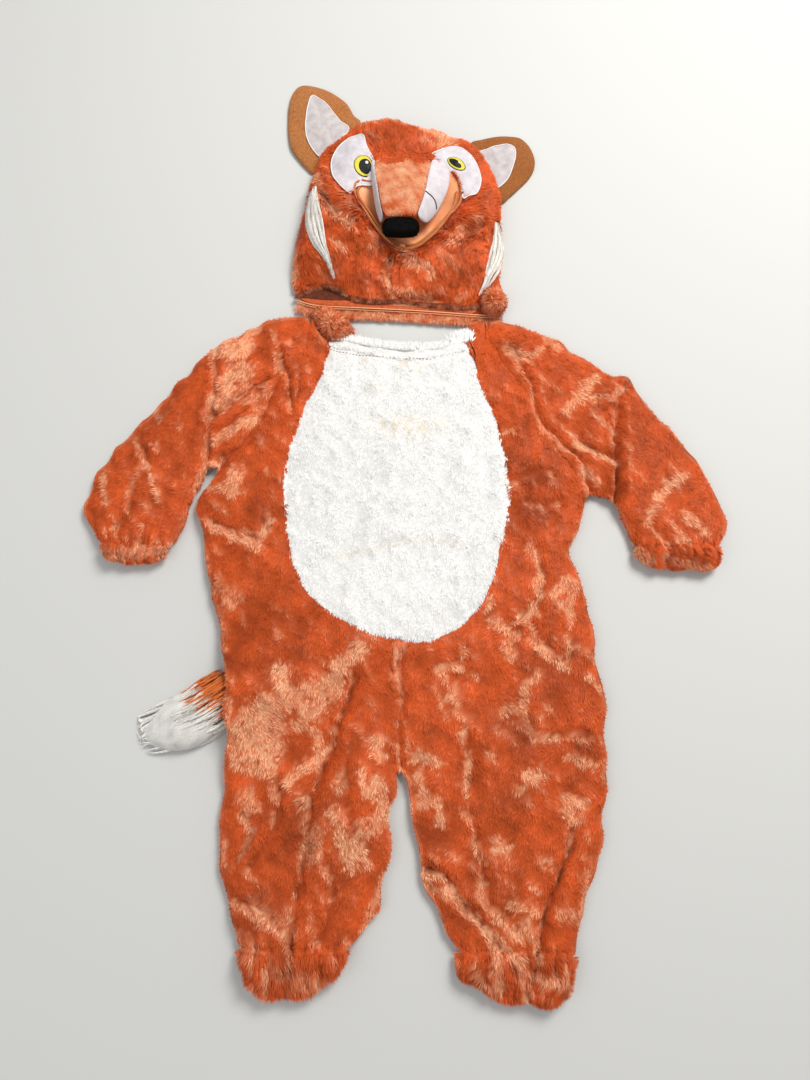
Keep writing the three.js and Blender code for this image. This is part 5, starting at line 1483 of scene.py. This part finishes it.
strip_pile("centre_seam_pile", CENTRE_SEAM, 4.4, 3600, CENTRE_PILE, 208, ORANGE_PILE,
           centre_level)
strip_pile("belly_point_pile", BELLY_POINT, 3.2, 1100, CENTRE_PILE, 209, ORANGE_PILE,
           centre_level)

# The forehead's pile hangs over the snout's root
FRINGE = Pile(down_nap, 12.5, 1.0, 0.26, 0.42, orange_tones, 0.46, 0.10)
BROW_LINE = [(-38, 476), (-30, 474), (-12, 471), (2, 477), (16, 472), (32, 476)]


FRINGE_RISE = 1.2


def fringe_level(x, y):
    return top_at(x, y, ROOT_TREE) + FRINGE_RISE


ROOT_TREE = tree_of("snout_top", "snout_side_left", "snout_side_right", "hood_head")
strip_pile("forehead_fringe", BROW_LINE, 6.0, 3400, FRINGE, 204, ORANGE_PILE,
           fringe_level)

# Face: the lining in the opening, the eye patches and the ears
OPENING = [(-44, 440), (-58, 440), (-65, 427), (-53, 401), (-37, 375), (-18, 355), (-3, 347), (17, 352),
           (38, 368), (55, 391), (68, 409), (70, 427), (66, 446), (54, 458), (10, 462)]
LINING_EDGE = 33.0
LINING_MIDDLE = 21.0
OPENING_CENTRE = (4, 405)
OPENING_HALVES = (66, 58)


def lining_level(x, y):
    across = (x - OPENING_CENTRE[0]) / OPENING_HALVES[0]
    along = (y - OPENING_CENTRE[1]) / OPENING_HALVES[1]
    wrinkle = 1.3 * float(field(x, y, 17, 81, stretch=2.5, turn=1.9))
    rise = float(smoothstep(math.hypot(across, along), 0.55, 1.05))
    return LINING_MIDDLE + (LINING_EDGE - LINING_MIDDLE) * rise + wrinkle * (1 - rise)


felt("face_lining", OPENING, OPENING_CENTRE, 0.4, lining_level, LINING, sink=0.6)


def patch_level(x, y):
    return hood_top(x, y) + 0.5 * float(field(x, y, 26, 82))


EAR_HEIGHT = 3.3
INNER_RISE = 4.3
EYE_RISE = 1.5


def ear_level(seed):
    """An ear lies on the surface, a little uneven; its white inner lies on top of it."""
    return lambda x, y: EAR_HEIGHT + 0.8 * float(field(x, y, 46, seed))


def on_ear(level, seed):
    return lambda x, y: level(x, y) + INNER_RISE + 0.7 * float(field(x, y, 22, seed))


ear_left_level = ear_level(83)
ear_right_level = ear_level(84)
on_ear_left = on_ear(ear_left_level, 85)
on_ear_right = on_ear(ear_right_level, 86)
for node, outline, centre, thickness, ground, material, slot, sink in [
    ("eye_patch_left", PATCH_LEFT, (-62, 463), 1.6, patch_level, WHITE_VELOUR, "white_felt", 1.2),
    ("eye_patch_right", PATCH_RIGHT, (72, 459), 1.6, patch_level, WHITE_VELOUR, "white_felt", 1.2),
    ("ear_left", EAR_LEFT, (-112, 540), 3.6, ear_left_level, LIT_EAR_SUEDE, "ear_felt", 1.6),
    ("ear_right", EAR_RIGHT, (120, 484), 3.6, ear_right_level, SHADED_EAR_SUEDE, "ear_felt", 1.6),
    ("ear_left_inner", EAR_LEFT_INNER, (-106, 535), 1.0, on_ear_left, EAR_VELOUR, "white_felt", 1.2),
    ("ear_right_inner", EAR_RIGHT_INNER, (120, 488), 1.0, on_ear_right, EAR_VELOUR, "white_felt", 1.2),
]:
    felt(node + "_felt", outline, centre, thickness, ground, material, node, sink)

threads("felt_borders", [
    border(PATCH_LEFT, patch_level, -0.1),
    border(PATCH_RIGHT, patch_level, -0.1),
    border(EAR_LEFT_INNER, on_ear_left, -0.4),
    border(EAR_RIGHT_INNER, on_ear_right, -0.4),
], WHITE_THREAD)


def eye_level(x, y):
    return patch_level(x, y) + EYE_RISE


def raised(lift):
    return lambda x, y: eye_level(x, y) + lift


# Each layer's left and right oval: its middle, its two halves and its turn
for layer, left, right, thickness, lift, material in [
    ("outline", ((-51, 459), 11.7, 14.0), ((63, 464), 13.2, 7.8, -38), 0.7, 0.0, DARK_THREAD),
    ("iris", ((-51, 459), 10.6, 12.9), ((63, 464), 12.0, 6.9, -38), 0.7, 0.5, YELLOW_THREAD),
    ("pupil", ((-48.6, 457.8), 7.9, 9.6), ((61.6, 464.2), 9.6, 4.5, -42), 0.7, 1.0, BLACK_THREAD),
    ("glint", ((-46.6, 462.0), 2.1, 2.2), ((66.4, 464.6), 1.8, 1.2, -38), 0.5, 1.6, WHITE_THREAD),
]:
    slot = "white_felt" if layer == "glint" else "eye_stitch"
    for node, oval in (("eye_left", left), ("eye_right", right)):
        trim(node + "_" + layer, ellipse(*oval), oval[0], thickness, raised(lift), material,
             node if layer == "outline" else None)

# Mouth, binding and hem stitches
MOUTH = smooth_line([(24, 414), (28, 412), (32, 410.5), (35.5, 408), (37.5, 404), (38, 400)], 0.8)
threads("mouth_stitch", [cord(on_parts(MOUTH, 0.3, "snout_side_right", "snout_top"), 0.75, 0.6, rib=0.12)],
        BLACK_THREAD)
BINDING = [(-38, 440), (-56, 440), (-62, 427), (-50, 402), (-35, 377), (-17, 357), (-3, 350), (17, 354),
           (36, 369), (53, 391), (66, 409), (68, 427), (64, 446), (56, 455)]
BINDING_LINE = smooth_line(BINDING, 1.0)
threads("binding_edge", [cord(on_hood(BINDING_LINE, 0.2), 1.7, 1.5)], BINDING_TAPE)
threads("binding_stitch", running_stitch(on_hood(BINDING_LINE, 2.1), 1.9, 0.7, 0.35, 0.2),
        PEACH_THREAD)
HEM = [(-132, 298), (-108, 291), (-60, 288), (-12, 285.5), (42, 282), (92, 278), (116, 277)]
HEM_HEIGHT = 8.4


def flat_line(line, height):
    return np.column_stack([line, np.full(len(line), height)])


HEM_LINE = smooth_line(HEM, 1.0)
threads("hem_topstitch", [cord(flat_line(HEM_LINE - [0, 1.5], HEM_HEIGHT), 0.8, 0.5),
                          cord(flat_line(HEM_LINE - [0, 4.0], HEM_HEIGHT - 0.4), 0.5, 0.4)],
        PEACH_THREAD)
SERGING = [
    (x, 288 - 0.055 * (x + 12) + (4.5 if k % 2 else 0.5))
    for k, x in enumerate(np.arange(-14, 30, 1.3))
]
threads("hem_serging", [cord(flat_line(smooth_line(SERGING, 0.7), HEM_HEIGHT), 0.35, 0.3, sides=4)],
        PEACH_THREAD)
# Painted shadow: a dark sheet in the hollow under the left arch of the hood's hem
HOLLOW = [(-131, 301), (-120, 309), (-99, 315), (-80, 309), (-60, 299), (-80, 296.5), (-100, 297),
          (-118, 299)]
HOLLOW_HEIGHT = 8.2
felt("hem_hollow_painted_shadow", HOLLOW, (-98, 303), 0.3, lambda x, y: HOLLOW_HEIGHT, HOLLOW_PAINTED_SHADOW,
     sink=0.3)


HEM_FRINGE_HEIGHT = 5.2


def hem_fringe_level(x, y):
    return HEM_FRINGE_HEIGHT + 0.9 * float(field(x, y, 14, 87))


FRINGE_LINE = [(-130, 291), (-108, 284), (-60, 281), (-12, 279), (42, 275), (92, 272), (114, 274)]
HEM_FRINGE = Pile(down_nap, 7.5, 0.9, 0.30, 0.75, fringe_tones, 0.5, 0.12)
strip_pile("hem_fringe", FRINGE_LINE, 4.2, 5500, HEM_FRINGE, 205, ORANGE_PILE,
           hem_fringe_level)
OVERHANG = Pile(down_nap, 6.0, 0.7, 0.30, 0.45, overhang_tones, 0.42, 0.10)


OVERHANG_GROUND = 8.5
OVERHANG_RISE = 0.6


def overhang_level(x, y):
    return max(top_at(x, y), OVERHANG_GROUND) + OVERHANG_RISE


HOLLOW_EDGE = [(-133, 302), (-121, 309), (-99, 315), (-80, 310), (-60, 300), (-36, 296), (-8, 297),
               (20, 293)]
HOOD_EDGE = [(20, 293), (42, 290), (66, 288), (90, 290)]
strip_pile("hood_overhang", HOLLOW_EDGE, 1.6, 1900, OVERHANG, 206, ORANGE_PILE,
           overhang_level)
strip_pile("hood_edge_overhang", HOOD_EDGE, 1.8, 900, OVERHANG, 207, ORANGE_PILE,
           overhang_level)

# Long hair: the cheek locks and the tail
LOCK_LEFT = [(-113, 438), (-114, 415), (-111, 390), (-104, 362), (-94, 340), (-86, 320)]
LOCK_RIGHT = [(113, 391), (115, 368), (111, 345), (103, 325), (97, 311), (91, 301)]


LOCK_RISE = 1.0


def lock_level(x, y):
    return top_at(x, y, HOOD_TREE) + float(RELIEF.at(x, y)) + LOCK_RISE


LOCK_HEIGHTS = [3.0, 5.0, 5.0, 4.0, 3.0, 1.0]
for name, line, halves, seed in [
    ("cheek_lock_left", LOCK_LEFT, [5.0, 9.0, 10.0, 8.5, 5.0, 0.8], 211),
    ("cheek_lock_right", LOCK_RIGHT, [3.0, 8.0, 9.0, 7.0, 4.5, 0.8], 212),
]:
    piece = lock(name + "_hair", line, halves, LOCK_HEIGHTS, 750, 0.9, 0.55, white_tones, seed,
                 WHITE_PILE, lock_level, wave=1.1, starts=(0.0, 0.62), clumps=2.0)
    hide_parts(name)

TAIL_LINE = [(-178, -160), (-200, -178), (-224, -194), (-246, -205), (-265, -212), (-277, -215), (-285, -217)]
TAIL_HALVES = [25, 29, 31, 30, 28, 25, 20]
TAIL_HEIGHTS = [19, 22.5, 26.5, 26, 21.5, 14, 6.5]
lock("tail_tip_hair", TAIL_LINE, TAIL_HALVES, TAIL_HEIGHTS, 2900, 1.1, 0.40, white_tones, 221, WHITE_PILE,
     floor_level, wave=2.4, starts=(0.24, 0.70), slant=-0.12, clumps=8.0, reach=1.12)
lock("tail_hair", TAIL_LINE, TAIL_HALVES, [20, 24, 27.2, 26, 21, 13, 6.5], 3000, 0.9, 0.26,
     tail_tones, 222, ORANGE_PILE, floor_level, wave=1.6, starts=(-0.08, 0.24), slant=-0.20,
     ragged=0.02, clumps=17.0)
lock("tail_wisps", TAIL_LINE[2:], [18, 17, 15, 12, 9], [20, 16, 10, 6, 3], 70, 0.9, 0.75, white_tones, 223,
     WHITE_PILE, floor_level, wave=4.5, starts=(0.3, 0.65), clumps=7.0, steps=12, reach=1.45)

# Neck: white pile that stands up over the edge, the loop's knob
NECK_STITCH = smooth_line([(-93, 229), (-69, 222), (-18, 218), (30, 216)], 1.0)
STITCH_RISE = 0.6
neck_line = np.array([(x, y, FORM.at(x, y) + RELIEF.at(x, y) + STITCH_RISE) for x, y in NECK_STITCH])
threads("neck_stitch", running_stitch(neck_line, 2.4, 1.6, 0.4, 0.4), BROWN_THREAD)
SPIKES = Pile(up_nap, 7.5, 1.2, 0.35, 0.3, cream_tones, 0.28, 0.14)


SPIKE_GROUND = 8.0
SPIKE_ROOT = 1.0


def spike_level(x, y):
    return max(FORM.at(x, y), SPIKE_GROUND) - SPIKE_ROOT


NECK_EDGE = [(-84, 244), (-60, 240), (-30, 235), (0, 232), (30, 232), (56, 236), (76, 243)]
strip_pile("neck_spikes", NECK_EDGE, 3.0, 2200, SPIKES, 231, CREAM_PILE, spike_level)
TUFT = Pile(up_nap, 12.0, 1.5, 0.4, 0.3, cream_tones, 0.3, 0.14)
NECK_END = [(58, 238), (68, 241), (77, 243)]
strip_pile("neck_tuft", NECK_END, 4.0, 600, TUFT, 232, CREAM_PILE, spike_level)
KNOB = (-89, 256)
KNOB_HEIGHT = 15.5
trim("neck_loop_knob", ellipse(KNOB, 3.2, 2.6), KNOB, 2.6, lambda x, y: KNOB_HEIGHT, PINK_KNOB)

# Camera where the photograph was taken from, looking steeply down along +Y
CAMERA_DISTANCE = 932.65
CAMERA_ELEVATION = math.radians(78)
PHOTO_LONG_SIDE = 1080
FOCAL_PIXELS = 811
SENSOR = 36.0


def add_camera():
    data = bpy.data.cameras.new("camera")
    data.sensor_width = SENSOR
    data.sensor_fit = "AUTO"
    data.lens = FOCAL_PIXELS / PHOTO_LONG_SIDE * SENSOR
    camera = bpy.data.objects.new("camera", data)
    away = CAMERA_DISTANCE * math.cos(CAMERA_ELEVATION)
    up = CAMERA_DISTANCE * math.sin(CAMERA_ELEVATION)
    camera.location = Vector(to_frame([[0.0, -away, up]])[0])
    camera.rotation_euler = (math.pi / 2 - CAMERA_ELEVATION, 0, 0)
    bpy.context.scene.collection.objects.link(camera)
    bpy.context.scene.camera = camera


def add_light(name, place_at, aim_at, size, power, color):
    data = bpy.data.lights.new(name, "AREA")
    data.shape = "SQUARE"
    data.size = size
    data.energy = power
    data.color = color
    light = bpy.data.objects.new(name, data)
    light.location = place_at
    light.rotation_euler = (Vector(aim_at) - Vector(place_at)).to_track_quat("-Z", "Y").to_euler()
    bpy.context.scene.collection.objects.link(light)


def add_floor():
    half = 3.0
    mesh = bpy.data.meshes.new("floor")
    corners = [(-half, -half, 0), (half, -half, 0), (half, half, 0), (-half, half, 0)]
    mesh.from_pydata(corners, [], [(0, 1, 2, 3)])
    floor = bpy.data.objects.new("floor", mesh)
    material, _, _, shader = new_material("floor")
    shader.inputs["Base Color"].default_value = (0.62, 0.62, 0.60, 1)
    shader.inputs["Roughness"].default_value = 0.9
    mesh.materials.append(material)
    bpy.context.scene.collection.objects.link(floor)


def add_world():
    world = bpy.data.worlds.new("studio")
    world.use_nodes = True
    background = world.node_tree.nodes["Background"]
    background.inputs["Color"].default_value = (1.0, 1.0, 1.0, 1)
    background.inputs["Strength"].default_value = 0.45
    bpy.context.scene.world = world


add_camera()
add_light("key", (0.9, 1.1, 1.7), (0, 0, 0), 0.9, 46.0, (1.0, 0.985, 0.96))
add_light("fill", (-1.3, -0.9, 1.6), (0, 0, 0), 1.6, 9.0, (0.95, 0.97, 1.0))
add_floor()
add_world()
bpy.context.scene.view_settings.view_transform = "Standard"
